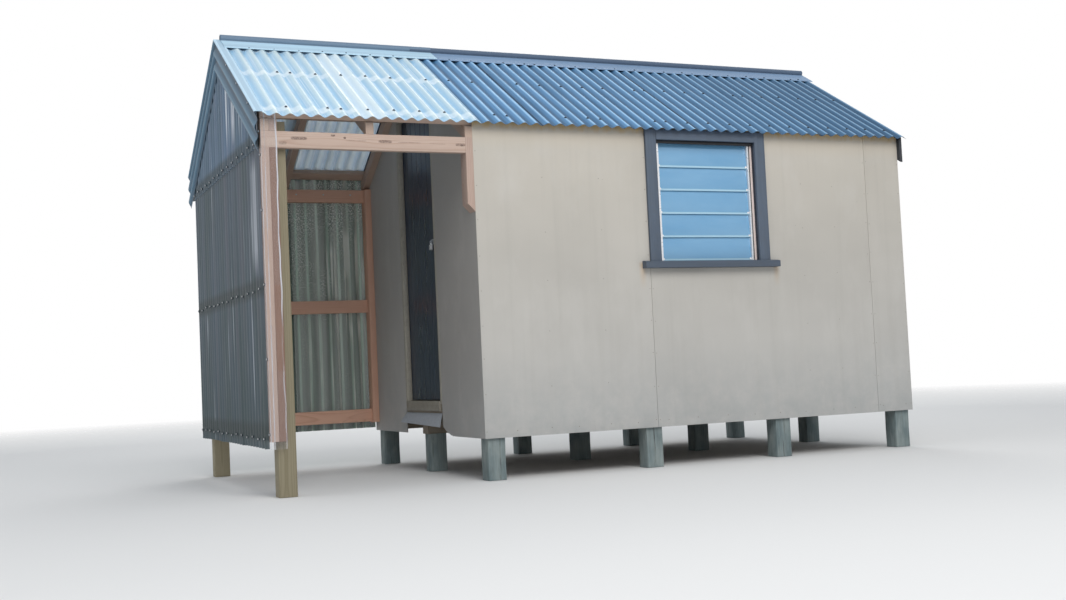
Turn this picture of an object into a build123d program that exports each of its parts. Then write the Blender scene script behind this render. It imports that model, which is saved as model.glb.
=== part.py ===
from build123d import *
from math import atan, ceil, cos, floor, pi, radians, sin, sqrt, tan
import os

# Backcountry hut with a lean porch of clear sheets, in millimetres.
# Setting-out frame: X along the hut from the outer face of its door wall, Y from the outer face
# of the front wall to the back, Z up from the bottom edge of the wall cladding.
# The finished pieces are moved so that the middle of the footprint is the origin, at the pile feet.

# Main sizes
HUT_LENGTH = 3048.0
HUT_DEPTH = 2134.0
PORCH_LENGTH = 1219.0
ROOF_PITCH = 31.0
SEAT_HEIGHT = 1832.0
PILE_DROP = 240.0
EAVE_OVERHANG = 56.0
VERGE_OVERHANG = 38.0

# Corrugated sheets
CORRUGATION = 76.2
CORRUGATION_DEPTH = 17.0
FLATS = 3
SHEET = 1.0
LAP_LIFT = 2.0
SEAT_GAP = 0.3
RIDGE_GAP = 30.0
STEEL_LAP_COUNTS = (6, 13, 20, 26, 32)
CLEAR_LAP_COUNT = 8
CLEAR_LAP_REACH = 2
END_LAP_COUNTS = (9, 18)
BACK_LAP_COUNT = 8

# Roof timber
PURLIN_WIDTH = 70.0
PURLIN = 35.0
RAFTER_DEPTH = 70.0
RAFTER = 45.0
MID_PURLIN = 617.0
RIDGE_PURLIN = 155.0
RIDGE_BOARD = 20.0
RIDGE_BOARD_DEPTH = 140.0
BARGE_BOARD = 20.0
BARGE_BOARD_DEPTH = 140.0
BROKEN_WIDTH = 215.0
BROKEN_HEIGHT = 58.0

# Ridge capping
CAP = 1.0
CAP_WING = 150.0
CAP_ROLL = 21.0
CAP_JOINT_X = 143.0
CAP_LAP = 143.0

# Floor and walls
BEARER_DEPTH = 75.0
BEARER_WIDTH = 100.0
JOIST_DEPTH = 100.0
JOIST = 45.0
JOIST_COUNT = 7
FLOOR = 20.0
CLADDING = 6.0
WALL = 90.0
PLATE_DROP = 104.0
PANEL_GAP = 0.5
SHEET_JOINT = 2.0
NEAR_JOINT = 1122.0
FAR_JOINT = 278.0
BACK_JOINT = 1200.0
PILE = 110.0
PILE_INSET = 20.0
FAR_PILE_BAY = 942.0
MIDDLE_PILE_BAY = 928.0

# Window
WINDOW_LEFT = 1195.0
WINDOW_WIDTH = 710.0
WINDOW_HEAD_DROP = 82.0
WINDOW_HEIGHT = 745.0
WINDOW_LINING = 20.0
CASING_WIDTH = 75.0
CASING = 20.0
CASING_HEAD = 65.0
SILL_PROJECTION = 50.0
SILL_DEPTH = 45.0
SILL_HORN = 52.0
SILL_SLOPE = 7.0
BLADE_COUNT = 5
BLADE = 5.5
BLADE_LAP = 11.0
BLADE_TILT = 4.0
CHANNEL = 34.0
CHANNEL_DEPTH = 40.0
CHANNEL_SETBACK = 20.0
HEAD_BEAD = 18.0
HEAD_BEAD_FACE = 6.0

# Door
DOORWAY = 670.0
JAMB = 20.0
STOP = 10.0
STOP_DEPTH = 32.0
DOOR_SETBACK = 37.0
DOOR_BOARDS = 22.0
LEDGE = 29.0
LEDGE_DEPTH = 110.0
LEDGE_INSET = 25.0
END_LEDGE = 230.0
DOOR_HEAD_DROP = 395.0
HINGE_GAP = 5.0
LATCH_GAP = 8.0
DOOR_FOOT_GAP = 6.0
DOOR_HEAD_GAP = 6.0
THRESHOLD_TOP = 212.0
THRESHOLD_DEPTH = 62.0
THRESHOLD_NOSE = 8.0

# Door ironwork
HINGE_RADIUS = 6.0
HINGE_PIN = 3.0
HINGE_CLEARANCE = 0.3
KNUCKLE = 24.0
STRAP = 4.0
STRAP_LENGTH = 260.0
STRAP_WIDTH = 34.0
HINGE_PLATE = 3.0
HINGE_PLATE_WIDTH = 45.0
HASP_HEIGHT = 1000.0
HASP_LENGTH = 140.0
HASP_WIDTH = 34.0
HASP = 3.0
HASP_INSET = 20.0
HASP_CORNER = 10.0
RING_SETBACK = 45.0
STAPLE = 6.0
STAPLE_REACH = 20.0
PADLOCK_WIDTH = 38.0
PADLOCK_HEIGHT = 32.0
PADLOCK = 14.0
PADLOCK_EDGE = 3.0
SHACKLE = 5.0
SHACKLE_SPAN = 18.0

# Loose flap under the door
FLAP = 3.0
FLAP_TOP = 136.0
FLAP_LENGTH = 685.0
FLAP_DROP_FAR = 63.0
FLAP_DROP_NEAR = 86.0
FLAP_LEAN_FAR = 50.0
FLAP_LEAN_NEAR = 18.0

# Porch frame
STUD = 45.0
STUD_DEPTH = 90.0
RAIL_DEPTH = 90.0
MID_RAIL_TOP = 935.0
BOTTOM_RAIL_TOP = 155.0
POST = 100.0
STUD_FOOT = 60.0
POST_RISE = 60.0
CUT_STUD_LENGTH = 428.0

# Porch sheets
END_SHEET_BOTTOM = 20.0
GABLE_SHEET_DROP = 88.0
END_SHEET_DROP = 13.0
BACK_SHEET_DROP = 22.0
BARGE_CORRUGATIONS = 2.5
FOLD_REACH = 12.0
WRAP_FRONT = 90.0
WRAP_SIDE = 34.0

SLOPE_SIN = sin(radians(ROOF_PITCH))
SLOPE_COS = cos(radians(ROOF_PITCH))
SLOPE_TAN = tan(radians(ROOF_PITCH))
RIDGE_Y = HUT_DEPTH / 2
RIDGE_PLANE = Plane(origin=(0, RIDGE_Y, 0), x_dir=(1, 0, 0), z_dir=(0, 1, 0))
SLOPE_LENGTH = RIDGE_Y / SLOPE_COS
RIDGE_SEAT = SEAT_HEIGHT + RIDGE_Y * SLOPE_TAN
PLATE_TOP = SEAT_HEIGHT - PLATE_DROP
CREST_HEIGHT = CORRUGATION_DEPTH + SHEET
RAFTER_TOP = -SEAT_GAP - PURLIN
FLOOR_TOP = BEARER_DEPTH + JOIST_DEPTH + FLOOR
END_FACE = -PORCH_LENGTH
MID_RAFTER_X = -(PORCH_LENGTH + RAFTER) / 2
RAIL_BOTTOM = PLATE_TOP - RAIL_DEPTH
END_STACK = SEAT_GAP + CREST_HEIGHT + 3 * LAP_LIFT
X_LOW = END_FACE - END_STACK - SEAT_GAP - CREST_HEIGHT
X_HIGH = HUT_LENGTH + VERGE_OVERHANG
HINGE_X = WALL + HINGE_RADIUS + PANEL_GAP
DOORWAY_NEAR = RIDGE_Y - DOORWAY / 2
DOORWAY_FAR = RIDGE_Y + DOORWAY / 2
HINGE_Y = DOORWAY_FAR - HINGE_GAP / 2
DOOR_NEAR = DOORWAY_NEAR + LATCH_GAP
DOOR_FAR = DOORWAY_FAR - HINGE_GAP
DOOR_BOTTOM = THRESHOLD_TOP + DOOR_FOOT_GAP
DOOR_TOP = RIDGE_SEAT - DOOR_HEAD_DROP
DOORWAY_TOP = DOOR_TOP + DOOR_HEAD_GAP
LEDGE_FACE = DOOR_SETBACK + DOOR_BOARDS + LEDGE
WINDOW_RIGHT = WINDOW_LEFT + WINDOW_WIDTH
WINDOW_TOP = SEAT_HEIGHT - WINDOW_HEAD_DROP
WINDOW_BOTTOM = WINDOW_TOP - WINDOW_HEIGHT
CASING_TOP = WINDOW_TOP + CASING_HEAD
GABLE_SHEET_BOTTOM = PLATE_TOP - GABLE_SHEET_DROP
END_SHEET_TOP = PLATE_TOP - END_SHEET_DROP
BACK_SHEET_TOP = SEAT_HEIGHT - BACK_SHEET_DROP


def block(x0, x1, y0, y1, z0, z1):
    """A box between two corners."""
    middle = Pos((x0 + x1) / 2, (y0 + y1) / 2, (z0 + z1) / 2)
    return middle * Box(x1 - x0, y1 - y0, z1 - z0)


def side_prism(points, x0, x1):
    """A prism along X whose section is a list of (y, z) corners."""
    section = Plane.YZ * make_face(Polyline(*points, close=True))
    return Pos(x0, 0, 0) * extrude(section, x1 - x0)


def slope_point(run, height):
    """(y, z) at a distance up the front slope and a height square to the sheets' seat."""
    y = run * SLOPE_COS - height * SLOPE_SIN
    z = SEAT_HEIGHT + run * SLOPE_SIN + height * SLOPE_COS
    return (y, z)


def slope_z(y, height):
    """Height of the front slope above a place y, for a line parallel to the sheets' seat."""
    return SEAT_HEIGHT + SLOPE_TAN * y + height / SLOPE_COS


def to_back(shape):
    """The same piece on the other side of the ridge."""
    return mirror(shape, about=RIDGE_PLANE)


def under_roof(x0, x1, y0, y1, z0, height):
    """A block whose top follows both roof slopes at a height from the sheets' seat."""
    points = [(y0, z0), (y1, z0)]
    for y in sorted({y1, min(max(RIDGE_Y, y0), y1), y0}, reverse=True):
        across = y if y <= RIDGE_Y else HUT_DEPTH - y
        points.append((y, slope_z(across, height)))
    return side_prism(points, x0, x1)


def wave(first, last):
    """Section of a corrugated sheet between two of its crests or valleys.

    The numbers count half corrugations, and even ones are crests. Each half corrugation is a
    few flats along a cosine, and the lowest point of the underside is at height 0.
    """
    half = CORRUGATION / 2
    rise = CORRUGATION_DEPTH / 2
    upper = []
    lower = []
    for step in range((last - first) * FLATS + 1):
        number = first + step / FLATS
        across = number * half
        up = rise * (1 + cos(pi * number)) + SHEET / 2
        lean = atan(rise * pi / half * sin(pi * number))
        out_across = sin(lean) * SHEET / 2
        out_up = cos(lean) * SHEET / 2
        upper.append((across + out_across, up + out_up))
        lower.append((across - out_across, up - out_up))
    return make_face(Polyline(*upper, *reversed(lower), close=True))


def wave_sheet(plane, first, last, length, lifted):
    """A corrugated sheet whose section lies on a plane and runs a length along its normal."""
    section = Pos(0, LAP_LIFT if lifted else 0, 0) * wave(first, last)
    return extrude(plane * section, length)


def lapped(plane, cuts, length, first_lifted, reach=1):
    """Sheets side by side, each lapping its neighbour by as many corrugations as its reach.

    The cuts count corrugations, and each lap is over the crest of its cut.
    """
    sheets = []
    for number in range(len(cuts) - 1):
        first = 2 * cuts[number] - reach
        last = 2 * cuts[number + 1] + reach
        lifted = (number % 2 == 0) == first_lifted
        sheets.append(wave_sheet(plane, first, last, length, lifted))
    return sheets


def roof_plane():
    """Section plane at the top of the front slope, square to it, with +Y away from the seat."""
    y, z = slope_point(SLOPE_LENGTH - RIDGE_GAP, 0)
    return Plane(origin=(0, y, z), x_dir=(1, 0, 0), z_dir=(0, -SLOPE_COS, -SLOPE_SIN))


def roof_run():
    """Length of a roof sheet from the ridge gap to the eave."""
    return SLOPE_LENGTH - RIDGE_GAP + EAVE_OVERHANG / SLOPE_COS


def within(shapes, x0, x1, y0, y1, z0, z1):
    """The shapes trimmed to a box."""
    trim = block(x0, x1, y0, y1, z0, z1)
    return [shape & trim for shape in shapes]


# Ground and floor

def pile_rows():
    """Front faces of the front, middle and back rows."""
    low = PILE_INSET
    high = HUT_DEPTH - PILE_INSET - PILE
    return (low, (low + high) / 2, high)


def pile_lines():
    """Middles of the piles along the hut."""
    near = PILE_INSET + PILE / 2
    far = HUT_LENGTH - near
    third = far - FAR_PILE_BAY
    return (near, third - MIDDLE_PILE_BAY, third, far)


def piles():
    """Three rows of square piles from the ground to the bearers."""
    made = []
    for y in pile_rows():
        for x in pile_lines():
            made.append(block(x - PILE / 2, x + PILE / 2, y, y + PILE, -PILE_DROP, 0))
    return made


def bearers():
    """Timber bearers along the pile rows."""
    made = []
    for y in pile_rows():
        low = y + (PILE - BEARER_WIDTH) / 2
        made.append(block(CLADDING, HUT_LENGTH - CLADDING, low, low + BEARER_WIDTH, 0, BEARER_DEPTH))
    return made


def floor_joists():
    """Joists across the bearers, from wall to wall."""
    made = []
    step = (HUT_LENGTH - 2 * CLADDING - JOIST) / (JOIST_COUNT - 1)
    for number in range(JOIST_COUNT):
        x = CLADDING + number * step
        top = BEARER_DEPTH + JOIST_DEPTH
        made.append(block(x, x + JOIST, CLADDING, HUT_DEPTH - CLADDING, BEARER_DEPTH, top))
    return made


def floor_deck():
    """The boarded floor on the joists."""
    low = BEARER_DEPTH + JOIST_DEPTH
    return block(CLADDING, HUT_LENGTH - CLADDING, CLADDING, HUT_DEPTH - CLADDING, low, FLOOR_TOP)


# Walls

def front_wall():
    """Framed and lined panels left of, under and right of the window."""
    left = WINDOW_LEFT - WINDOW_LINING
    right = WINDOW_RIGHT + WINDOW_LINING
    sill = WINDOW_BOTTOM - WINDOW_LINING
    return [
        block(WALL, left, CLADDING, WALL, FLOOR_TOP, PLATE_TOP),
        block(left + PANEL_GAP, right - PANEL_GAP, CLADDING, WALL, FLOOR_TOP, sill),
        block(right, HUT_LENGTH - WALL, CLADDING, WALL, FLOOR_TOP, PLATE_TOP),
    ]


def back_wall():
    """The plain back wall."""
    y1 = HUT_DEPTH - CLADDING
    return block(WALL, HUT_LENGTH - WALL, HUT_DEPTH - WALL, y1, FLOOR_TOP, PLATE_TOP)


def far_gable_wall():
    """The gable wall away from the door."""
    x0 = HUT_LENGTH - WALL
    x1 = HUT_LENGTH - CLADDING
    return under_roof(x0, x1, CLADDING, HUT_DEPTH - CLADDING, FLOOR_TOP, RAFTER_TOP)


def door_wall(y0, y1, z0):
    """A panel of the door wall between two places along it."""
    return under_roof(CLADDING, WALL, y0, y1, z0, RAFTER_TOP)


def door_wall_front():
    return door_wall(CLADDING, DOORWAY_NEAR - JAMB, FLOOR_TOP)


def door_wall_back():
    return door_wall(DOORWAY_FAR + JAMB, HUT_DEPTH - CLADDING, FLOOR_TOP)


def door_wall_head():
    near = DOORWAY_NEAR - JAMB + PANEL_GAP
    far = DOORWAY_FAR + JAMB - PANEL_GAP
    return door_wall(near, far, DOORWAY_TOP + JAMB)


def long_cladding(joints):
    """Flat sheets along the front wall, with a gap at each joint."""
    edges = [0, *joints, HUT_LENGTH]
    made = []
    for number in range(len(edges) - 1):
        x0 = edges[number] + (SHEET_JOINT / 2 if number > 0 else 0)
        x1 = edges[number + 1] - (SHEET_JOINT / 2 if number < len(joints) else 0)
        top = -2 * SEAT_GAP
        corners = [(0, 0), (CLADDING, 0), (CLADDING, slope_z(CLADDING, top)), (0, slope_z(0, top))]
        made.append(side_prism(corners, x0, x1))
    return made


def front_cladding():
    """Front sheets, with the window cut through them."""
    left = WINDOW_LEFT - WINDOW_LINING
    right = WINDOW_RIGHT + WINDOW_LINING
    low = WINDOW_BOTTOM - WINDOW_LINING
    hole = block(left, right, -CLADDING, 2 * CLADDING, low, WINDOW_TOP + WINDOW_LINING)
    sheets = long_cladding([NEAR_JOINT, HUT_LENGTH - FAR_JOINT])
    return [sheet - hole for sheet in sheets]


def back_cladding():
    """Back sheets of even width, with the rest at the far end."""
    joints = [BACK_JOINT * (number + 1) for number in range(int(HUT_LENGTH / BACK_JOINT))]
    return [to_back(sheet) for sheet in long_cladding(joints)]


def gable_sheet(x0, y0, y1, z0):
    """A flat sheet on a gable, up to the roof sheets."""
    return under_roof(x0, x0 + CLADDING, y0, y1, z0, -2 * SEAT_GAP)


def far_gable_cladding():
    """Two sheets that meet under the ridge."""
    x0 = HUT_LENGTH - CLADDING
    half = SHEET_JOINT / 2
    return [
        gable_sheet(x0, CLADDING, RIDGE_Y - half, 0),
        gable_sheet(x0, RIDGE_Y + half, HUT_DEPTH - CLADDING, 0),
    ]


def door_wall_cladding():
    """Sheets each side of the doorway and over it. The front one has lost its lower corner."""
    near = DOORWAY_NEAR - JAMB
    far = DOORWAY_FAR + JAMB
    front = gable_sheet(0, CLADDING, near, 0)
    foot = near - BROKEN_WIDTH
    radius = (BROKEN_WIDTH ** 2 + BROKEN_HEIGHT ** 2) / (2 * BROKEN_HEIGHT)
    half_turn = atan(BROKEN_WIDTH / (radius - BROKEN_HEIGHT)) / 2
    middle = (foot + radius * sin(half_turn), radius * (1 - cos(half_turn)))
    corner = [
        ThreePointArc((foot, 0), middle, (near, BROKEN_HEIGHT)),
        Polyline((near, BROKEN_HEIGHT), (near, -CLADDING), (foot, -CLADDING), (foot, 0)),
    ]
    broken = extrude(Plane.YZ * make_face(corner), CLADDING)
    front = front - broken
    head = gable_sheet(0, near + SHEET_JOINT, far - SHEET_JOINT, DOORWAY_TOP + JAMB)
    back = gable_sheet(0, far, HUT_DEPTH - CLADDING, 0)
    return [front, head, back]


# Window

def window_casing():
    """Side boards on the wall beside the window, and the head board between them."""
    left = WINDOW_LEFT - CASING_WIDTH
    right = WINDOW_RIGHT + CASING_WIDTH
    return [
        block(left, WINDOW_LEFT, -CASING, 0, WINDOW_BOTTOM, CASING_TOP),
        block(WINDOW_LEFT, WINDOW_RIGHT, -CASING, 0, WINDOW_TOP, CASING_TOP),
        block(WINDOW_RIGHT, right, -CASING, 0, WINDOW_BOTTOM, CASING_TOP),
    ]


def window_frame():
    """The lining of the opening through the wall, with a bead under its head."""
    left = WINDOW_LEFT - WINDOW_LINING
    right = WINDOW_RIGHT + WINDOW_LINING
    low = WINDOW_BOTTOM - WINDOW_LINING
    high = WINDOW_TOP + WINDOW_LINING
    outer = block(left, right, 0, WALL, low, high)
    inner = block(WINDOW_LEFT, WINDOW_RIGHT, -WALL, 2 * WALL, WINDOW_BOTTOM, WINDOW_TOP)
    bead = block(
        WINDOW_LEFT, WINDOW_RIGHT, HEAD_BEAD_FACE, CHANNEL_SETBACK,
        WINDOW_TOP - HEAD_BEAD, WINDOW_TOP,
    )
    return outer - inner + bead


def window_sill():
    """The sill board with its sloping top."""
    x0 = WINDOW_LEFT - CASING_WIDTH - SILL_HORN
    x1 = WINDOW_RIGHT + CASING_WIDTH + SILL_HORN
    top = WINDOW_BOTTOM
    low = top - SILL_DEPTH
    corners = [
        (-SILL_PROJECTION, low),
        (0, low),
        (0, top),
        (-CASING, top),
        (-SILL_PROJECTION, top - SILL_SLOPE),
    ]
    return side_prism(corners, x0, x1)


def louvre_channels():
    """Upright channels that hold the blades."""
    low = WINDOW_BOTTOM
    high = WINDOW_TOP
    y0 = CHANNEL_SETBACK
    y1 = y0 + CHANNEL_DEPTH
    return [
        block(WINDOW_LEFT, WINDOW_LEFT + CHANNEL, y0, y1, low, high),
        block(WINDOW_RIGHT - CHANNEL, WINDOW_RIGHT, y0, y1, low, high),
    ]


def louvre_blades():
    """Glass blades that lap like tiles, foot outwards."""
    step = WINDOW_HEIGHT / BLADE_COUNT
    height = step + BLADE_LAP
    x0 = WINDOW_LEFT + CHANNEL + SEAT_GAP
    x1 = WINDOW_RIGHT - CHANNEL - SEAT_GAP
    y = CHANNEL_SETBACK + CHANNEL_DEPTH / 2
    rise = (WINDOW_HEIGHT - height * cos(radians(BLADE_TILT)) - BLADE) / (BLADE_COUNT - 1)
    made = []
    for number in range(BLADE_COUNT):
        z = WINDOW_BOTTOM + (WINDOW_HEIGHT - rise * (BLADE_COUNT - 1)) / 2 + number * rise
        blade = Pos((x0 + x1) / 2, y, z) * Rot(-BLADE_TILT, 0, 0) * Box(x1 - x0, BLADE, height)
        made.append(blade)
    return made


# Doorway

def door_frame():
    """Jambs and head with the stop that the door shuts against."""
    low = FLOOR_TOP
    outer = block(0, WALL, DOORWAY_NEAR - JAMB, DOORWAY_FAR + JAMB, low, DOORWAY_TOP + JAMB)
    rebate = block(STOP_DEPTH, 2 * WALL, DOORWAY_NEAR, DOORWAY_FAR, 0, DOORWAY_TOP)
    clear = block(-WALL, 2 * WALL, DOORWAY_NEAR + STOP, DOORWAY_FAR - STOP, 0, DOORWAY_TOP - STOP)
    return outer - rebate - clear


def door_threshold():
    """The sill piece between the jambs, turned down over the edge of the floor."""
    near = DOORWAY_NEAR + STOP + PANEL_GAP
    far = DOORWAY_FAR - STOP - PANEL_GAP
    top = THRESHOLD_TOP
    tread = block(-THRESHOLD_NOSE, WALL, near, far, FLOOR_TOP, top)
    face = block(-THRESHOLD_NOSE, CLADDING, near, far, top - THRESHOLD_DEPTH, top)
    return tread + face


def threshold_flap():
    """A loose strip of sheet under the threshold, bent outwards and twisted."""
    far = RIDGE_Y + FLAP_LENGTH / 2
    near = RIDGE_Y - FLAP_LENGTH / 2

    def end(y, lean, drop):
        top = FLAP_TOP
        points = [
            (CLADDING, y, top),
            (CLADDING - FLAP, y, top),
            (CLADDING - FLAP - lean, y, top - drop),
            (CLADDING - lean, y, top - drop),
        ]
        return Face(Wire(Polyline(*points, close=True).edges()))

    ends = [end(near, FLAP_LEAN_NEAR, FLAP_DROP_NEAR), end(far, FLAP_LEAN_FAR, FLAP_DROP_FAR)]
    return loft(ends, ruled=True)


# Door

def door_leaf():
    """The boarded face of the door."""
    x1 = DOOR_SETBACK + DOOR_BOARDS
    return block(DOOR_SETBACK, x1, DOOR_NEAR, DOOR_FAR, DOOR_BOTTOM, DOOR_TOP)


def ledge_levels():
    """Heights of the middles of the door's three ledges."""
    return (DOOR_BOTTOM + END_LEDGE, (DOOR_BOTTOM + DOOR_TOP) / 2, DOOR_TOP - END_LEDGE)


def door_ledges():
    """Cross ledges on the inner side of the boards."""
    x0 = DOOR_SETBACK + DOOR_BOARDS
    made = []
    for z in ledge_levels():
        low = z - LEDGE_DEPTH / 2
        near = DOOR_NEAR + LEDGE_INSET
        far = DOOR_FAR - LEDGE_INSET
        made.append(block(x0, LEDGE_FACE, near, far, low, low + LEDGE_DEPTH))
    return made


def hinge_levels():
    """Heights of the hinges, at the middle of the lowest and highest ledge."""
    return (ledge_levels()[0], ledge_levels()[-1])


def door_hinges():
    """Strap hinges: the strap and its middle knuckle, bored for the pin."""
    made = []
    room = HINGE_RADIUS + HINGE_CLEARANCE
    x1 = LEDGE_FACE + STRAP
    for z in hinge_levels():
        half = STRAP_WIDTH / 2
        strap = block(LEDGE_FACE, x1, HINGE_Y - STRAP_LENGTH, HINGE_Y - room, z - half, z + half)
        tongue = block(LEDGE_FACE, x1, HINGE_Y - room, HINGE_Y, z - KNUCKLE / 2, z + KNUCKLE / 2)
        knuckle = Pos(HINGE_X, HINGE_Y, z) * Cylinder(HINGE_RADIUS, KNUCKLE)
        bore = Pos(HINGE_X, HINGE_Y, z) * Cylinder(HINGE_PIN + HINGE_CLEARANCE, 2 * KNUCKLE)
        made.append(strap + tongue + knuckle - bore)
    return made


def hinge_plates():
    """The fixed half of each hinge: a plate on the wall, two knuckles and the pin."""
    made = []
    reach = KNUCKLE * 1.5 + HINGE_CLEARANCE
    room = HINGE_RADIUS + HINGE_CLEARANCE
    for z in hinge_levels():
        plate = block(
            WALL, WALL + HINGE_PLATE, DOORWAY_FAR, DOORWAY_FAR + HINGE_PLATE_WIDTH,
            z - reach, z + reach,
        )
        notch = block(
            WALL, HINGE_X, HINGE_Y, HINGE_Y + room,
            z - KNUCKLE / 2 - HINGE_CLEARANCE, z + KNUCKLE / 2 + HINGE_CLEARANCE,
        )
        pin = Pos(HINGE_X, HINGE_Y, z) * Cylinder(HINGE_PIN, 2 * reach)
        piece = plate - notch + pin
        for way in (-1, 1):
            middle = z + way * (KNUCKLE + HINGE_CLEARANCE)
            piece = piece + Pos(HINGE_X, HINGE_Y, middle) * Cylinder(HINGE_RADIUS, KNUCKLE)
        made.append(piece)
    return made


def door_latch():
    """Hasp plate and staple on the face of the door, with a padlock through the staple."""
    z = DOOR_BOTTOM + HASP_HEIGHT
    near = DOOR_NEAR + HASP_INSET
    face = DOOR_SETBACK
    low = z - HASP_WIDTH / 2
    plate = block(face - HASP, face, near, near + HASP_LENGTH, low, low + HASP_WIDTH)
    plate = fillet(plate.edges().filter_by(Axis.X).sort_by(Axis.Y)[-2:], HASP_CORNER)
    ring_y = near + HASP_LENGTH - RING_SETBACK
    reach = STAPLE_REACH
    post = block(face - HASP - reach, face - HASP, ring_y - STAPLE, ring_y, z - STAPLE / 2, z + STAPLE / 2)
    second = Pos(0, 3 * STAPLE, 0) * post
    bridge = block(
        face - HASP - reach, face - HASP - reach + STAPLE, ring_y, ring_y + 2 * STAPLE,
        z - STAPLE / 2, z + STAPLE / 2,
    )
    hasp = plate + post + second + bridge
    eye_x = face - HASP - (reach - STAPLE) / 2
    eye_y = ring_y + STAPLE
    return [hasp, Pos(eye_x, eye_y + SHACKLE_SPAN / 2, z) * padlock()]


def padlock():
    """Padlock with its shackle over a staple post at the origin."""
    post = STAPLE / 2
    inner = SHACKLE_SPAN / 2 - SHACKLE / 2
    bend_z = post + SEAT_GAP - sqrt(inner**2 - post**2)
    top = -STAPLE - 2 * SHACKLE
    body = Box(PADLOCK, PADLOCK_WIDTH, PADLOCK_HEIGHT)
    body = fillet(body.edges().filter_by(Axis.X), PADLOCK_EDGE)
    lock = Pos(0, 0, top - PADLOCK_HEIGHT / 2) * body
    bend = Plane.XY * Pos(0, SHACKLE_SPAN / 2) * Rectangle(SHACKLE, SHACKLE)
    lock = lock + Pos(0, 0, bend_z) * revolve(bend, Axis.X, 180)
    for way in (-1, 1):
        leg = Box(SHACKLE, SHACKLE, bend_z - top)
        lock = lock + Pos(0, way * SHACKLE_SPAN / 2, (bend_z + top) / 2) * leg
    return lock


# Roof timber

def rafter(x0, y0):
    """A rafter of the front slope, plumb cut at its foot and notched over the plate."""
    ridge = RIDGE_Y - RIDGE_BOARD / 2
    low = RAFTER_TOP - RAFTER_DEPTH
    notch = (PLATE_TOP - slope_z(0, low)) / SLOPE_TAN
    corners = [
        (y0, PLATE_TOP),
        (max(notch, y0), PLATE_TOP),
        (ridge, slope_z(ridge, low)),
        (ridge, slope_z(ridge, RAFTER_TOP)),
        (y0, slope_z(y0, RAFTER_TOP)),
    ]
    return side_prism(corners, x0, x0 + RAFTER)


def rafter_pairs():
    """Three pairs of porch rafters and the pairs inside the hut."""
    made = []
    for x in (END_FACE, MID_RAFTER_X, -RAFTER):
        made.append(rafter(x, 0))
    for x in pile_lines()[1:-1]:
        made.append(rafter(x - RAFTER / 2, CLADDING))
    return made + [to_back(piece) for piece in made]


def ridge_boards():
    """Boards between the rafters' tops, one in the porch and one in the hut."""
    top = slope_z(RIDGE_Y - RIDGE_BOARD / 2, RAFTER_TOP)
    y0 = RIDGE_Y - RIDGE_BOARD / 2
    y1 = RIDGE_Y + RIDGE_BOARD / 2
    return [
        block(END_FACE, 0, y0, y1, top - RIDGE_BOARD_DEPTH, top),
        block(WALL, HUT_LENGTH - WALL, y0, y1, top - RIDGE_BOARD_DEPTH, top),
    ]


def purlins(x0, x1, eave):
    """Flat purlins at the eave, at mid slope and near the ridge, on both slopes."""
    made = []
    for start in (eave, MID_PURLIN, SLOPE_LENGTH - RIDGE_PURLIN):
        corners = [
            slope_point(start, RAFTER_TOP),
            slope_point(start + PURLIN_WIDTH, RAFTER_TOP),
            slope_point(start + PURLIN_WIDTH, -SEAT_GAP),
            slope_point(start, -SEAT_GAP),
        ]
        made.append(side_prism(corners, x0, x1))
    return made + [to_back(piece) for piece in made]


def hut_purlins():
    clear = (CLADDING + SEAT_GAP) / SLOPE_COS
    return purlins(CLADDING, HUT_LENGTH - CLADDING, clear)


def porch_purlins():
    return purlins(END_FACE, 0, 0)


def far_barge_boards():
    """Dark boards under the verge of the far gable."""
    low = -2 * SEAT_GAP
    corners = [
        (-EAVE_OVERHANG / 2, slope_z(-EAVE_OVERHANG / 2, low)),
        (-EAVE_OVERHANG / 2, slope_z(-EAVE_OVERHANG / 2, low - BARGE_BOARD_DEPTH)),
        (RIDGE_Y - PANEL_GAP, slope_z(RIDGE_Y - PANEL_GAP, low - BARGE_BOARD_DEPTH)),
        (RIDGE_Y - PANEL_GAP, slope_z(RIDGE_Y - PANEL_GAP, low)),
    ]
    board = side_prism(corners, HUT_LENGTH, HUT_LENGTH + BARGE_BOARD)
    return [board, to_back(board)]


# Roof sheets

def steel_slope():
    """Lapped steel sheets of the front slope of the hut."""
    last = ceil((HUT_LENGTH + VERGE_OVERHANG) / CORRUGATION)
    cuts = [0, *STEEL_LAP_COUNTS, last]
    sheets = lapped(roof_plane(), cuts, roof_run(), False)
    x0 = -CORRUGATION / 2
    return within(sheets, x0, X_HIGH, -HUT_DEPTH, HUT_DEPTH, 0, 2 * SEAT_HEIGHT)


def front_roof_sheets():
    return steel_slope()


def back_roof_sheets():
    return [to_back(sheet) for sheet in steel_slope()]


def porch_roof_sheets():
    """Clear sheets over the porch, the right-hand one lapping over the first steel sheet."""
    first = floor(END_FACE / CORRUGATION) - 1
    cuts = [first, -CLEAR_LAP_COUNT, 0]
    sheets = lapped(roof_plane(), cuts, roof_run(), False, CLEAR_LAP_REACH)
    last = CORRUGATION / 2
    sheets = within(sheets, END_FACE, last, -HUT_DEPTH, HUT_DEPTH, 0, 2 * SEAT_HEIGHT)
    return sheets + [to_back(sheet) for sheet in sheets]


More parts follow.
